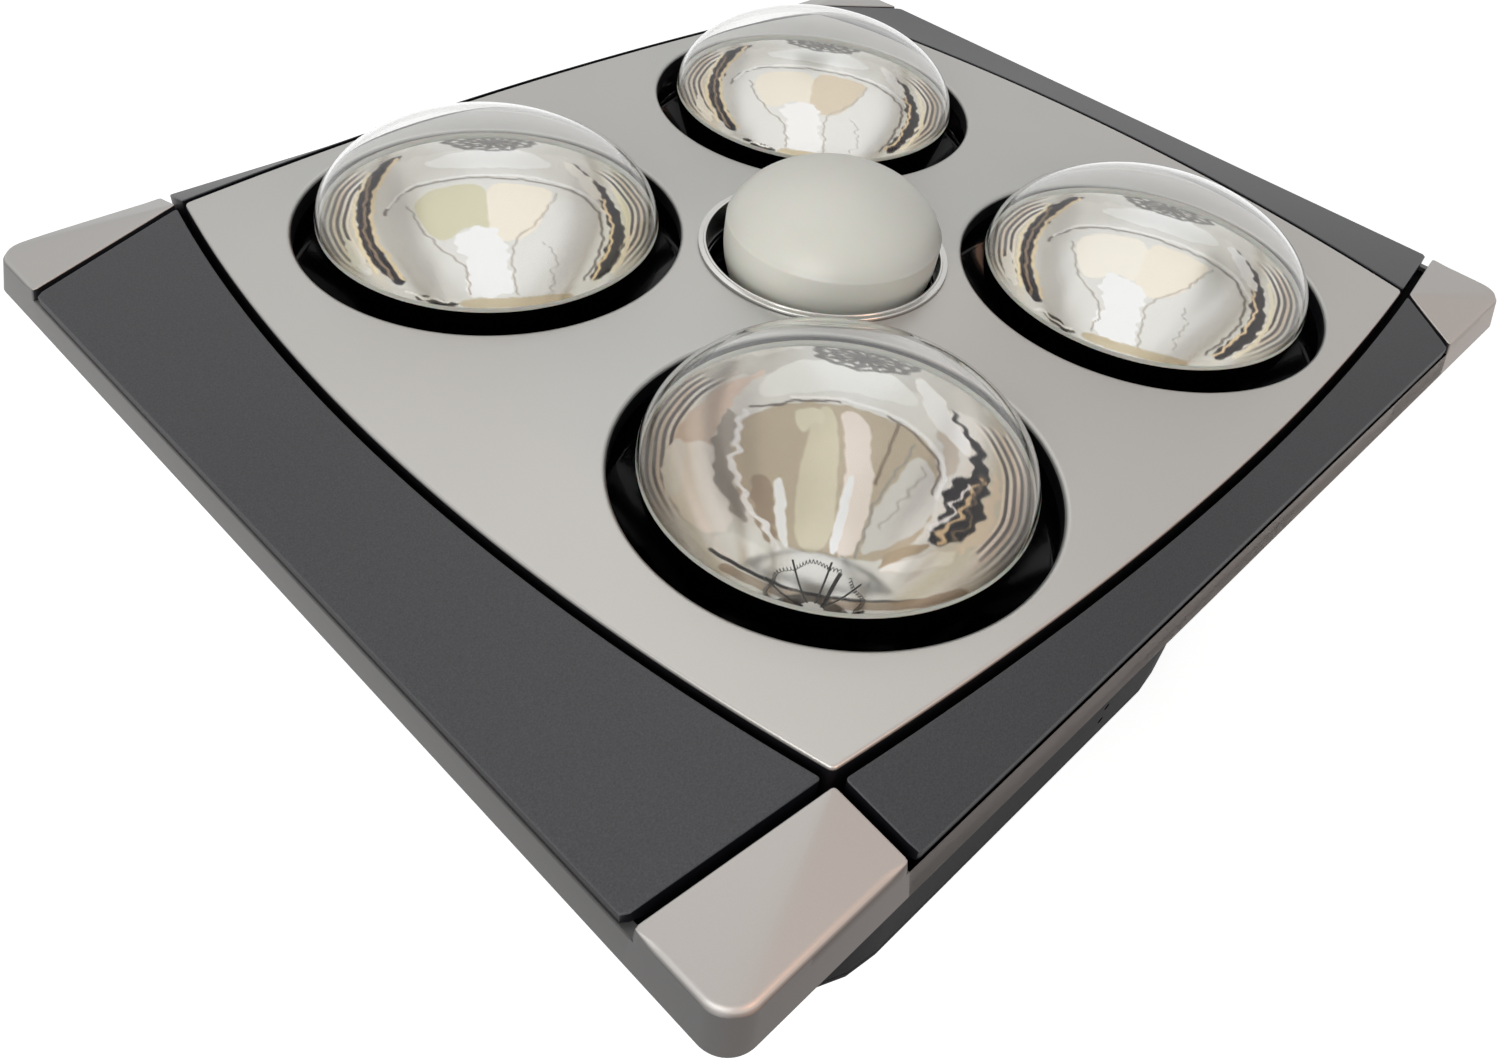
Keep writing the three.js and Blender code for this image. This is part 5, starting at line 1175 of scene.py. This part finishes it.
# Corners of an outline are cut twice, each time at a quarter and at three quarters of a side
def smoothed(points, closed, near=0.25):
    points = np.array(points, float)
    for _ in range(2):
        after = np.roll(points, -1, 0)
        cut = np.stack([(1 - near) * points + near * after, near * points + (1 - near) * after], 1)
        cut = cut.reshape(-1, 2)
        points = cut if closed else np.concatenate([points[:1], cut[1:-3], points[-1:]])
    return points


# Distance from a line, positive inside where it is closed, by its nearest side
def distanceFrom(u, w, points, closed, furthest=9.0):
    nearest, inside = np.full(u.shape, furthest), np.zeros(u.shape, bool)
    ends = np.roll(points, -1, 0) if closed else points[1:]
    for start, end in zip(points, ends):
        run = end - start
        share = np.clip(((u - start[0]) * run[0] + (w - start[1]) * run[1]) / (run @ run), 0, 1)
        nearest = np.minimum(nearest, np.hypot(u - start[0] - share * run[0], w - start[1] - share * run[1]))
        if closed and run[1] != 0:
            inside ^= ((start[1] > w) != (end[1] > w)) & (u < start[0] + (w - start[1]) / run[1] * run[0])
    return np.where(inside, nearest, -nearest)


# The part of light that a tint of 0 to 255 gives back: (tint / 255)^2.2
def linearTint(tint, gamma=2.2):
    return (np.array(tint) / 255) ** gamma


# 1 where a value is above 0 and 0 below it, with an edge of the drawing's own softness
def softMask(value):
    return softStep(value, -mirrorDrawing["soft"] / 2, mirrorDrawing["soft"] / 2)


# A painted reflection of a dark wheel at the bowl's far side: two rings with ticks between them
def reflectionMask(u, w, random):
    form = mirrorDrawing["reflection"]
    across, along = (u - form["centre"][0]) / form["size"][0], (w - form["centre"][1]) / form["size"][1]
    around = np.arctan2(across, along)
    reach = np.hypot(across, along) + form["shake"] * waves(around, (3, 7, 13), random)
    rings = np.min([np.abs(reach - ring) for ring in form["rings"]], axis=0)
    rings = rings * form["size"][1] * form["ringScale"]
    turned = around * form["ticks"] / math.pi + form["tickTwist"] * np.sin(3 * reach)
    ticks = np.abs(turned % 1 - 0.5) * reach * form["size"][1]
    lines = np.minimum(rings, np.where(reach < 1.0, ticks, 1.0))
    return softMask(form["width"] - lines) * (reach < form["end"])


# Painted reflections: each hoop, stroke and outline is laid over the ones before it: colour += mask (painted
# colour - colour)
def paintedBowlReflections(corner, u, w, random):
    size = mirrorDrawing
    parts = size["parts"].get(corner, {})
    colour = np.ones(u.shape + (3,)) * linearTint(size["base"])
    radius, turn = np.hypot(u, w), np.abs(np.degrees(np.arctan2(u, w)))
    wave = size["hoopShake"] * waves(np.radians(turn) + (u > 0), (3, 8, 15), random)
    first, second, third, fourth = size["hoopSpan"]
    side = softStep(turn, first, second) * (1 - softStep(turn, third, fourth))
    for reach, half, tint in size["hoops"]:
        mask = side * softMask(half - np.abs(radius + wave - reach))
        colour += (linearTint(tint) - colour) * mask[..., None]
    for width, tint, shake, points in size["side" if parts else "front"]:
        line = smoothed(points, closed=width == 0)
        margin = shake + size["soft"] + width + size["margin"]
        low, high = line.min(0) - margin, line.max(0) + margin
        near = (u > low[0]) & (u < high[0]) & (w > low[1]) & (w < high[1])
        shakeU = shake * waves(w[near], (11, 23, 41, 67), random)
        shakeW = shake * waves(u[near], (9, 19, 37, 61), random)
        mask = softMask(distanceFrom(u[near] + shakeU, w[near] + shakeW, line, closed=width == 0) + width)
        tint = linearTint(parts[tint] if isinstance(tint, str) else tint)
        colour[near] += (tint - colour[near]) * mask[..., None]
    form = size["reflection"]
    colour += (linearTint(form["tint"]) - colour) * form["strength"] * reflectionMask(u, w, random)[..., None]
    hidden = softStep(-w - 1.0, 0.0, size["hiddenFade"])[..., None]
    colour = colour * (1 - hidden) + linearTint(size["hidden"]) * hidden
    # painted brightening for light that meets the bowl more than once
    colour = colour + size["lift"] * colour ** 2 * (1 - colour)    # light meets the bowl more than once
    return colour + (colour.mean(axis=-1, keepdims=True) - colour) * size["greyShare"]


# A clear dome over a silvered bowl, with the rolled seam between them
def buildHeatLamp(corner, centre, random):
    size = heatLamp
    nodes, base = [f"heat_lamp_glass_{corner}"], size["equator"] + size["domeGap"]
    outer, inner = (domeLine(size["radius"] - inset, size["domeRise"] - inset, base, size["domeRows"])
                    for inset in (0.0, size["glass"]))
    dome = turnedMesh(f"heat_lamp_dome_{corner}", np.concatenate([outer, inner[::-1]]), size["steps"], centre)
    addPiece(f"heat_lamp_dome_{corner}", dome, "lamp_glass", nodes, smoothAngle=60)
    neck = [[size["neck"], size["neckFoot"] + size["neckTaper"]], [size["neckEnd"], size["neckFoot"]]]
    skins = []
    for rows, inset in ((size["outerRows"], 0.0), (size["bowlRows"], size["glass"])):
        share = np.linspace(0, 1, rows) ** size["rowSpread"]
        height = size["equator"] - size["bowlGap"] - size["bowlDepth"] * share
        bowl = np.stack([bowlRadius(share, size["radius"]), height], 1)
        skins.append(np.concatenate([bowl, neck]) - np.array([inset, 0.0]))
    profile = np.concatenate([skins[0], skins[1][::-1]])
    points = turnedPoints(profile, size["bowlSteps"])
    angle = np.linspace(0, 2 * math.pi, size["bowlSteps"], endpoint=False)[None, :]
    depth = ((size["equator"] - profile[:, 1]) / size["bowlDepth"])[:, None]
    twist, twistTurns = size["waveTwist"]
    push = size["wave"] * waves(angle + twist * np.sin(twistTurns * depth), size["waveCounts"], random)
    push = push * np.sin(math.pi * np.clip(depth, *size["waveEnds"])) ** size["waveFade"]
    points[..., :2] += push[..., None] * np.stack([np.cos(angle), np.sin(angle)], -1)
    # Painted reflections: each bowl point takes the colour of the drawing where its line meets the rim's disc
    faces, slant = (math.radians(mirrorDrawing[name][corner]) for name in ("faces", "slant"))
    rise, run = (mirrorDrawing["reach"][corner] * part for part in (math.sin(slant), math.cos(slant)))
    x, y, z = np.moveaxis(points / size["radius"], -1, 0)
    part = rise / (rise + size["equator"] / size["radius"] - z)
    u = (x * math.sin(faces) - y * math.cos(faces)) * part
    w = (x * math.cos(faces) + y * math.sin(faces) + run) * part - run
    tint = paintedBowlReflections(corner, u, w, random)
    tint[:size["darkRows"]] = size["outerTint"]
    points[..., :2] += np.array(centre)
    sides = gridFaces(len(profile), size["bowlSteps"], closedRows=True)
    mesh = makeMesh(f"heat_lamp_bowl_{corner}", points, sides, tint=tint)
    addPiece(f"heat_lamp_bowl_{corner}", mesh, "lamp_glass", nodes, finish="lamp_mirror", smoothAngle=60)
    # The seam is a real glass joint, made of white opal glass so that it also gives the bright line along the
    # rim: a painted highlight
    ring = np.linspace(0, 2 * math.pi, size["seamSides"], endpoint=False)
    halfWidth, halfHeight = size["seamTube"]
    width, height = halfWidth * np.cos(ring), halfHeight * np.sin(ring)
    tube = np.stack([size["seamRadius"] + width, size["equator"] + height], 1)
    seam = turnedMesh(f"heat_lamp_seam_highlight_{corner}", tube, size["steps"], centre)
    addPiece(f"heat_lamp_seam_highlight_{corner}", seam, "lamp_glass", nodes, finish="opal_glass", smoothAngle=60)


firstSeed = 31
for number, (corner, centre) in enumerate(lampCentres.items()):
    buildHeatLamp(corner, centre, np.random.default_rng(firstSeed + number))
print("heat lamps built")


# A round wire along a path: each ring is set square to the path by two directions across it,
# point = place + r (across cos a + other sin a)
def wirePoints(path, radius, sides, up=(0.0, 0.0, 1.0)):
    ahead = unit(np.gradient(path, axis=0))
    across = np.cross(ahead, np.asarray(up))
    across = across / np.maximum(np.linalg.norm(across, axis=1), 1e-6)[:, None]
    other = np.cross(ahead, across)
    angle = np.linspace(0, 2 * math.pi, sides, endpoint=False)
    ring = across[:, None] * np.cos(angle)[None, :, None] + other[:, None] * np.sin(angle)[None, :, None]
    return path[:, None] + ring * radius


filament = {
    "height": 147.0,
    "ring": 16.5,
    "gap": 0.12,
    "coil": 0.75,
    "turns": 84,
    "turnSteps": 8,
    "wire": (0.17, 4),             # radius and sides
    "scallop": 0.9,
    "droop": (0.8, 3),             # height and waves
    "supports": 8,
    "supportWire": (0.4, 6),
    "supportTip": (2.0, 1.2),      # out from the ring and up
    "supportSag": 2.4,
    "leadWire": (0.8, 8),
    "leadFoot": (3.2, -34.0),      # to the side and up from the hub
    "leadKnee": (5.0, 1.5, -6.0),
    "pathSteps": 14,
    "hubHeight": 139.0,
    "stem": ((0, 87.0), (8.0, 87.0), (6.5, 91.0), (4.0, 103.0), (3.2, 133.0), (5.0, 139.0), (0, 141.0)),
    "stemTrims": (0, 0.6, 1.5, 4.0, 2.0, 1.5, 0),
    "stemSteps": 48,
}


# The coil winds round a ring that dips at every support: r = ring + coil cos w + scallop cos(supports t),
# z = height + coil sin w + droop sin(waves t), with w = turns t. Supports sag as a half sine.
def buildFilament(corner, centre):
    size = filament
    ring, height = size["ring"], size["height"]
    hub = np.array([0.0, 0.0, size["hubHeight"]])
    turn = np.linspace(size["gap"], 2 * math.pi - size["gap"], size["turns"] * size["turnSteps"])
    wind = turn * size["turns"]
    droop, droopWaves = size["droop"]
    radius = ring + size["coil"] * np.cos(wind) + size["scallop"] * np.cos(turn * size["supports"])
    z = height + size["coil"] * np.sin(wind) + droop * np.sin(turn * droopWaves)
    wires = [(np.stack([radius * np.cos(turn), radius * np.sin(turn), z], 1), size["wire"])]
    share = np.linspace(0, 1, size["pathSteps"])[:, None]
    out, up = size["supportTip"]
    sag = np.array([0.0, 0.0, -size["supportSag"]]) * np.sin(math.pi * share)
    for number in range(size["supports"]):
        angle = 2 * math.pi * (number + 0.5) / size["supports"]
        tip = np.array([(ring + out) * math.cos(angle), (ring + out) * math.sin(angle), height + up])
        wires.append((hub + (tip - hub) * share + sag, size["supportWire"]))
    kneeX, kneeY, kneeZ = size["leadKnee"]
    for side in (-1, 1):
        foot = hub + np.array([side * size["leadFoot"][0], 0.0, size["leadFoot"][1]])
        knee = hub + np.array([side * kneeX, side * kneeY, kneeZ])
        tip = np.array([side * ring * math.cos(size["gap"]), side * ring * math.sin(size["gap"]), height])
        wires.append((quadratic(foot, knee, tip, share), size["leadWire"]))
    parts, faces, start = [], [], 0
    for path, (thickness, sides) in wires:
        tube = wirePoints(path, thickness, sides)
        first, last = np.repeat(path[:1, None], sides, 1), np.repeat(path[-1:, None], sides, 1)
        capped = np.concatenate([first, tube, last])
        parts.append(capped.reshape(-1, 3))
        faces += gridFaces(len(capped), sides, first=start)
        start += len(capped) * sides
    points = np.concatenate(parts) + np.array([*centre, 0.0])
    mesh = makeMesh(f"filament_wires_{corner}", points, faces)
    addPiece(f"filament_wires_{corner}", mesh, "tungsten", [f"filament_{corner}"], smoothAngle=60)
    stem = roundedProfile(size["stem"], size["stemTrims"], closed=False)
    mesh = turnedMesh(f"filament_stem_{corner}", stem, size["stemSteps"], centre, closed=False)
    addPiece(f"filament_stem_{corner}", mesh, "ceramic", [f"filament_{corner}"], smoothAngle=60)


for corner, centre in lampCentres.items():
    buildFilament(corner, centre)


opalLamp = {
    "radius": 41.0,
    "equator": 220.2,
    "rise": 20.0,
    "shoulder": 14.0,
    "shoulderInset": 0.4,
    "bandEdge": ((0.08, 0.35), (0.0, 0.9)),    # in and down from the dome's edge
    "band": 7.5,
    "lean": (0.026, -0.032),
    "bodyDepth": 50.0,
    "neck": 14.0,
    "neckEnd": 13.0,
    "foot": 152.5,
    "domeRows": 40,
    "bodyRows": 36,
    "steps": 200,
}


# A flattened dome that starts at a shoulder angle, a short upright band, then a body whose
# radius falls as a quarter cosine to the neck
def buildOpalLamp():
    size = opalLamp
    radius, first = size["radius"], math.radians(size["shoulder"])
    angle = np.linspace(math.pi / 2, first, size["domeRows"])
    scale = (radius - size["shoulderInset"]) / math.cos(first)
    rise = size["rise"] / (1 - math.sin(first))
    dome = np.stack([scale * np.cos(angle), size["equator"] + size["rise"] - rise * (1 - np.sin(angle))], 1)
    edge = dome[-1][1]
    band = [(radius - inset, edge - drop) for inset, drop in size["bandEdge"]]
    band += [(radius, edge - size["band"])]
    share = np.linspace(0, 1, size["bodyRows"])[1:]
    width = size["neck"] + (radius - size["neck"]) * np.cos(share * math.pi / 2)
    body = np.stack([width, edge - size["band"] - size["bodyDepth"] * share], 1)
    profile = np.concatenate([dome, band, body, [(size["neckEnd"], size["foot"]), (0.0, size["foot"])]])
    points = turnedPoints(profile, size["steps"])
    points[..., :2] += (points[..., 2:] - size["foot"]) * np.array(size["lean"])
    mesh = makeMesh("opal_lamp_envelope", points, gridFaces(len(profile), size["steps"]))
    addPiece("opal_lamp_envelope", mesh, "opal_glass", ["opal_lamp_glass"], smoothAngle=50)


buildOpalLamp()


screwCaps = {
    "radius": 13.3,
    "shoulder": 6.0,
    "contact": 5.0,
    "contactRise": 1.2,
    "insulator": (3.5, 3.6),     # out from the contact and up
    "trims": (0, 0.5, 0.5, 0.5),
    "pitch": 3.6,
    "thread": 0.42,
    "fade": 3.0,
    "plainTop": 4.0,
    "steps": 96,
    "rows": 90,
}


# Thread: radius = R - t + t sin(2 pi z / pitch - angle), faded out at both ends
def buildCap(node, centre):
    size = screwCaps
    low, high = nodeBox(node)[0][2], nodeBox(node)[1][2]
    contact, (out, up) = size["contact"], size["insulator"]
    bottom = [(0, low), (contact, low), (contact, low + size["contactRise"]), (contact + out, low + up)]
    height = np.linspace(low + size["shoulder"], high, size["rows"])
    side = np.stack([np.full(size["rows"], size["radius"]), height], 1)
    profile = np.concatenate([roundedProfile(bottom, size["trims"], closed=False), side, [(0, high)]])
    points = turnedPoints(profile, size["steps"])
    angle = np.linspace(0, 2 * math.pi, size["steps"], endpoint=False)[None, :]
    z = profile[:, 1:2]
    fade = np.clip((z - low - size["shoulder"]) / size["fade"], 0, 1)
    fade = fade * np.clip((high - size["plainTop"] - z) / size["fade"], 0, 1)
    push = size["thread"] * (np.sin(2 * math.pi * z / size["pitch"] - angle) - 1) * fade
    points[..., :2] += push[..., None] * np.stack([np.cos(angle), np.sin(angle)], -1) + np.array(centre)
    mesh = makeMesh(node + "_thread", points, gridFaces(len(profile), size["steps"]))
    addPiece(node + "_thread", mesh, "lamp_brass", [node], smoothAngle=45)


for corner, centre in lampCentres.items():
    buildCap(f"heat_lamp_cap_{corner}", centre)
buildCap("opal_lamp_cap", (0.0, 0.0))


holders = {
    "radius": 20.0,
    "footBevel": 2.0,
    "flangeRadius": 24.0,
    "flange": 4.0,
    "bore": 14.2,
    "seatGap": 0.3,
    "ribs": (8.0, 13.0, 18.0),                                 # heights from the foot
    "rib": ((0.0, 0.0), (0.8, 0.8), (0.8, 1.6), (0.0, 2.4)),    # in and up
    "trim": 0.3,
    "trimSteps": 3,
    "steps": 96,
}


# A ribbed ceramic cup with a flange round its mouth; its seat is just under the cap that it holds
def buildHolder(node, capNode, centre):
    size = holders
    (_, _, low), (_, _, top) = nodeBox(node)
    seat = nodeBox(capNode)[0][2] - size["seatGap"]
    radius, bore, wide, under = size["radius"], size["bore"], size["flangeRadius"], top - size["flange"]
    side = [(0, low), (radius - size["footBevel"], low), (radius, low + size["footBevel"])]
    side += [(radius - inset, low + rib + up) for rib in size["ribs"] for inset, up in size["rib"]]
    side += [(radius, under), (wide, under), (wide, top), (bore, top), (bore, seat), (0, seat)]
    trims = [0] + [size["trim"]] * (len(side) - 2) + [0]
    profile = roundedProfile(side, trims, steps=size["trimSteps"], closed=False)
    mesh = turnedMesh(node + "_body", profile, size["steps"], centre, closed=False)
    addPiece(node + "_body", mesh, "ceramic", [node])


for corner, centre in lampCentres.items():
    buildHolder(f"lamp_holder_{corner}", f"heat_lamp_cap_{corner}", centre)
buildHolder("lamp_holder_centre", "opal_lamp_cap", (0.0, 0.0))
print("filaments, opal lamp, caps and holders built")


spigot = {
    "radius": 49.0,
    "wall": 1.4,
    "flange": 53.0,
    "flangeThickness": 2.0,
    "bead": 1.4,
    "beadPlace": 52.0,
    "beadHalf": 1.96,
    "stopPlace": 9.3,
    "stopWidth": 2.0,
    "stopReach": 3.0,
    "trims": (0.2, 0.5, 0.5, 0.7, 0.8, 1.2, 0.8, 0.5, 0.5, 0.4, 0.4, 0.4, 0.4),
    "steps": 160,
}


# A tube along X with a flange, a bead for the hose clip and a stop inside for the blades. The
# profile is turned about Z and then laid over, so (x, y, z) becomes (z, x, y).
def buildSpigot():
    size = spigot
    low, high = nodeBox("duct_spigot")
    length, outer, flange = high[0] - low[0], size["radius"], size["flange"]
    inner, thick = outer - size["wall"], size["flangeThickness"]
    stop, stopLow = inner - size["stopReach"], size["stopPlace"]
    stopHigh = stopLow + size["stopWidth"]
    profile = roundedProfile([
        (inner, 0), (flange, 0), (flange, thick), (outer, thick),
        (outer, size["beadPlace"] - size["beadHalf"]), (outer + size["bead"], size["beadPlace"]),
        (outer, size["beadPlace"] + size["beadHalf"]), (outer, length), (inner, length),
        (inner, stopHigh), (stop, stopHigh), (stop, stopLow), (inner, stopLow),
    ], size["trims"])
    points = turnedPoints(profile, size["steps"])[..., [2, 0, 1]]
    points += np.array([low[0], *(low + high)[1:] / 2])
    mesh = makeMesh("duct_spigot_collar", points, gridFaces(len(profile), size["steps"], closedRows=True))
    addPiece("duct_spigot_collar", mesh, "black_plastic", ["duct_spigot"])


buildSpigot()


rounding = {"merge": 0.004, "flat": 1.0, "sharp": 35.0, "segments": 2}


# A node's own shape with its loose triangles merged, flat faces joined and its edges rounded
def roundedCopy(node, slot, bevel, finish=None):
    mesh = frame["nodes"][node].data.copy()
    mesh.name = node + "_rounded"
    shape = bmesh.new()
    shape.from_mesh(mesh)
    bmesh.ops.remove_doubles(shape, verts=shape.verts, dist=rounding["merge"] * millimetre)
    flat = math.radians(rounding["flat"])
    bmesh.ops.dissolve_limit(shape, angle_limit=flat, verts=shape.verts, edges=shape.edges)
    shape.to_mesh(mesh)
    shape.free()
    piece = addPiece(node + "_rounded", mesh, slot, [node], finish, rounding["sharp"])
    if bevel:
        edge = piece.modifiers.new("rounded edges", "BEVEL")
        edge.width = bevel * millimetre
        edge.segments = rounding["segments"]
        edge.limit_method = "ANGLE"
        edge.angle_limit = math.radians(rounding["sharp"])
        edge.harden_normals = False


# Slot and width of the rounded edge, with the finish where it isn't the slot's own
copies = {
    # the tray takes the darker black, painted shade in the grooves
    "fascia_tray": ("black_plastic", 0.3, "groove_black"),
    "housing": ("black_housing", 0.3),
    "rear_cover": ("black_housing", 0.4),
    "deck_plate": ("black_housing", 0.2),
    "terminal_box": ("black_plastic", 0.5),
    "terminal_cover": ("black_plastic", 0.5),
    "terminal_block": ("ceramic", 0.3),
    "fan_scroll": ("grey_plastic", 0.2),
    "scroll_cover": ("grey_plastic", 0.2),
    "impeller": ("black_plastic", 0.0),
    "motor_shaft": ("plain_steel", 0.2),
    "fan_motor": ("plain_steel", 0.6),
    "damper_pin": ("plain_steel", 0.2),
    "damper_blade_right": ("black_plastic", 0.0),
    "damper_blade_left": ("black_plastic", 0.0),
    "damper_spring_right": ("spring_steel", 0.0),
    "damper_spring_left": ("spring_steel", 0.0),
    "cable_gland": ("black_plastic", 0.4),
}
for side in ("left", "right", "front", "back"):
    copies[f"fascia_clip_{side}"] = ("spring_steel", 0.0)
for corner in corners:
    copies[f"deck_screw_{corner}"] = ("plain_steel", 0.2)
for node, form in copies.items():
    roundedCopy(node, *form)
print("other pieces rounded:", len(copies))


# Floor, light and camera
studio = {
    "floorColour": (0.82, 0.82, 0.81, 1),
    "floorRoughness": 0.9,
    "floorLift": 0.76,
    "floorReach": 6.0,
    "floorGap": 0.3,
    "ambient": 0.22,
    "aim": (0.0, 0.0, 0.19),
    "softboxes": {
        "overhead": {"place": (0.35, 0.6, 1.5), "size": 1.3, "power": 4.5, "colour": (1.0, 1.0, 0.99)},
        "left box": {"place": (-1.0, -0.4, 0.7), "size": 0.7, "power": 7.4, "colour": (1.0, 1.0, 0.99)},
        "right box": {"place": (-0.15, -0.9, 0.5), "size": 0.4, "power": 2.7, "colour": (1.0, 0.50, 0.28)},
    },
    "mirrors": ["heat_lamp_bowl", "heat_lamp_dome"],
    "spares": {"right box": ["opal_lamp", "side_panel", "floor"]},
}


# An object's matrix from the directions of its three axes and its place
def axesMatrix(right, up, back, place):
    rows = zip(np.stack([right, up, back], 1).tolist(), place)
    return Matrix([[*row, shift] for row, shift in rows] + [[0, 0, 0, 1]])


# 1 for rays from the camera and for mirrored and transmitted ones, 0 for the rest
def seenDirectly(tree):
    path = addNode(tree, "ShaderNodeLightPath")
    total = path.outputs["Is Camera Ray"]
    for name in ("Is Glossy Ray", "Is Transmission Ray"):
        larger = addNode(tree, "ShaderNodeMath", operation="MAXIMUM")
        tree.links.new(total, larger.inputs[0])
        tree.links.new(path.outputs[name], larger.inputs[1])
        total = larger.outputs[0]
    return total


def makeFloor():
    material, tree, shader = startMaterial(
        "pale_floor", Base_Color=studio["floorColour"], Roughness=studio["floorRoughness"],
        Specular_IOR_Level=0.0, Emission_Color=(1, 1, 1, 1))
    lift = between(tree, seenDirectly(tree), 0.0, studio["floorLift"])
    tree.links.new(lift, shader.inputs["Emission Strength"])
    mesh = bpy.data.meshes.new("floor")
    reach, height = studio["floorReach"], cadBox[0][2] - studio["floorGap"] * millimetre
    places = [(reach * x, reach * y, height) for x, y in ((-1, -1), (1, -1), (1, 1), (-1, 1))]
    mesh.from_pydata(places, [], [(0, 1, 2, 3)])
    mesh.materials.append(material)
    floor = bpy.data.objects.new("floor", mesh)
    bpy.context.scene.collection.objects.link(floor)


# A square soft lamp that points at the aim. It doesn't light the mirrors and clear domes, which
# show the white room only, nor what it spares.
def makeSoftbox(name, form):
    light = bpy.data.lights.new(name, "AREA")
    light.shape = "RECTANGLE"
    light.size = light.size_y = form["size"]
    light.energy = form["power"]
    light.color = form["colour"]
    lamp = bpy.data.objects.new(name, light)
    unlit = bpy.data.collections.new(f"spared by {name}")
    for piece in bpy.context.scene.objects:
        if piece.name.startswith((*studio["mirrors"], *studio["spares"].get(name, []))):
            unlit.objects.link(piece)
    for member in unlit.collection_objects:
        member.light_linking.link_state = "EXCLUDE"
    lamp.light_linking.receiver_collection = unlit
    back = unit(np.array(form["place"]) - np.array(studio["aim"]))
    right = unit(np.cross((0.0, 0.0, 1.0), back))
    lamp.matrix_world = axesMatrix(right, np.cross(back, right), back, form["place"])
    bpy.context.scene.collection.objects.link(lamp)


def makeStudio():
    world = bpy.data.worlds.new("studio")
    bpy.context.scene.world = world
    world.use_nodes = True
    tree = world.node_tree
    background = tree.nodes["Background"]
    background.inputs["Color"].default_value = (1, 1, 1, 1)
    tree.links.new(between(tree, seenDirectly(tree), studio["ambient"], 1.0), background.inputs["Strength"])
    makeFloor()
    for name, form in studio["softboxes"].items():
        makeSoftbox(name, form)


makeStudio()


camera = {
    "place": (-0.3162, -0.2495, 0.4537),
    "azimuth": 38.71,
    "down": 44.78,
    "roll": 8.3,
    "focalPixels": 1194.6,
    "imageWidth": 1500,
    "imageHeight": 1062,
    "centrePixel": (774.3, 529.2),
    "sensor": 36.0,
    "clip": (0.01, 50.0),
}


# A camera that looks along its azimuth and down, rolled about that line. The image's centre is
# off the lens's axis, which the two shifts take up as shares of the image's width.
def makeCamera():
    turn, down, roll = (math.radians(camera[name]) for name in ("azimuth", "down", "roll"))
    ahead = np.array([math.cos(turn) * math.cos(down), math.sin(turn) * math.cos(down), -math.sin(down)])
    right = unit(np.cross(ahead, (0.0, 0.0, 1.0)))
    up = np.cross(right, ahead)
    rolledRight = math.cos(roll) * right + math.sin(roll) * up
    rolledUp = -math.sin(roll) * right + math.cos(roll) * up
    width, centre = camera["imageWidth"], camera["centrePixel"]
    data = bpy.data.cameras.new("camera")
    data.sensor_width = camera["sensor"]
    data.lens = camera["sensor"] * camera["focalPixels"] / width
    data.shift_x = (width / 2 - centre[0]) / width
    data.shift_y = (centre[1] - camera["imageHeight"] / 2) / width
    data.clip_start, data.clip_end = camera["clip"]
    eye = bpy.data.objects.new("camera", data)
    eye.matrix_world = axesMatrix(rolledRight, rolledUp, -ahead, camera["place"])
    bpy.context.scene.collection.objects.link(eye)
    bpy.context.scene.camera = eye


makeCamera()
bpy.context.scene.view_settings.view_transform = "Standard"
print("studio and camera set")
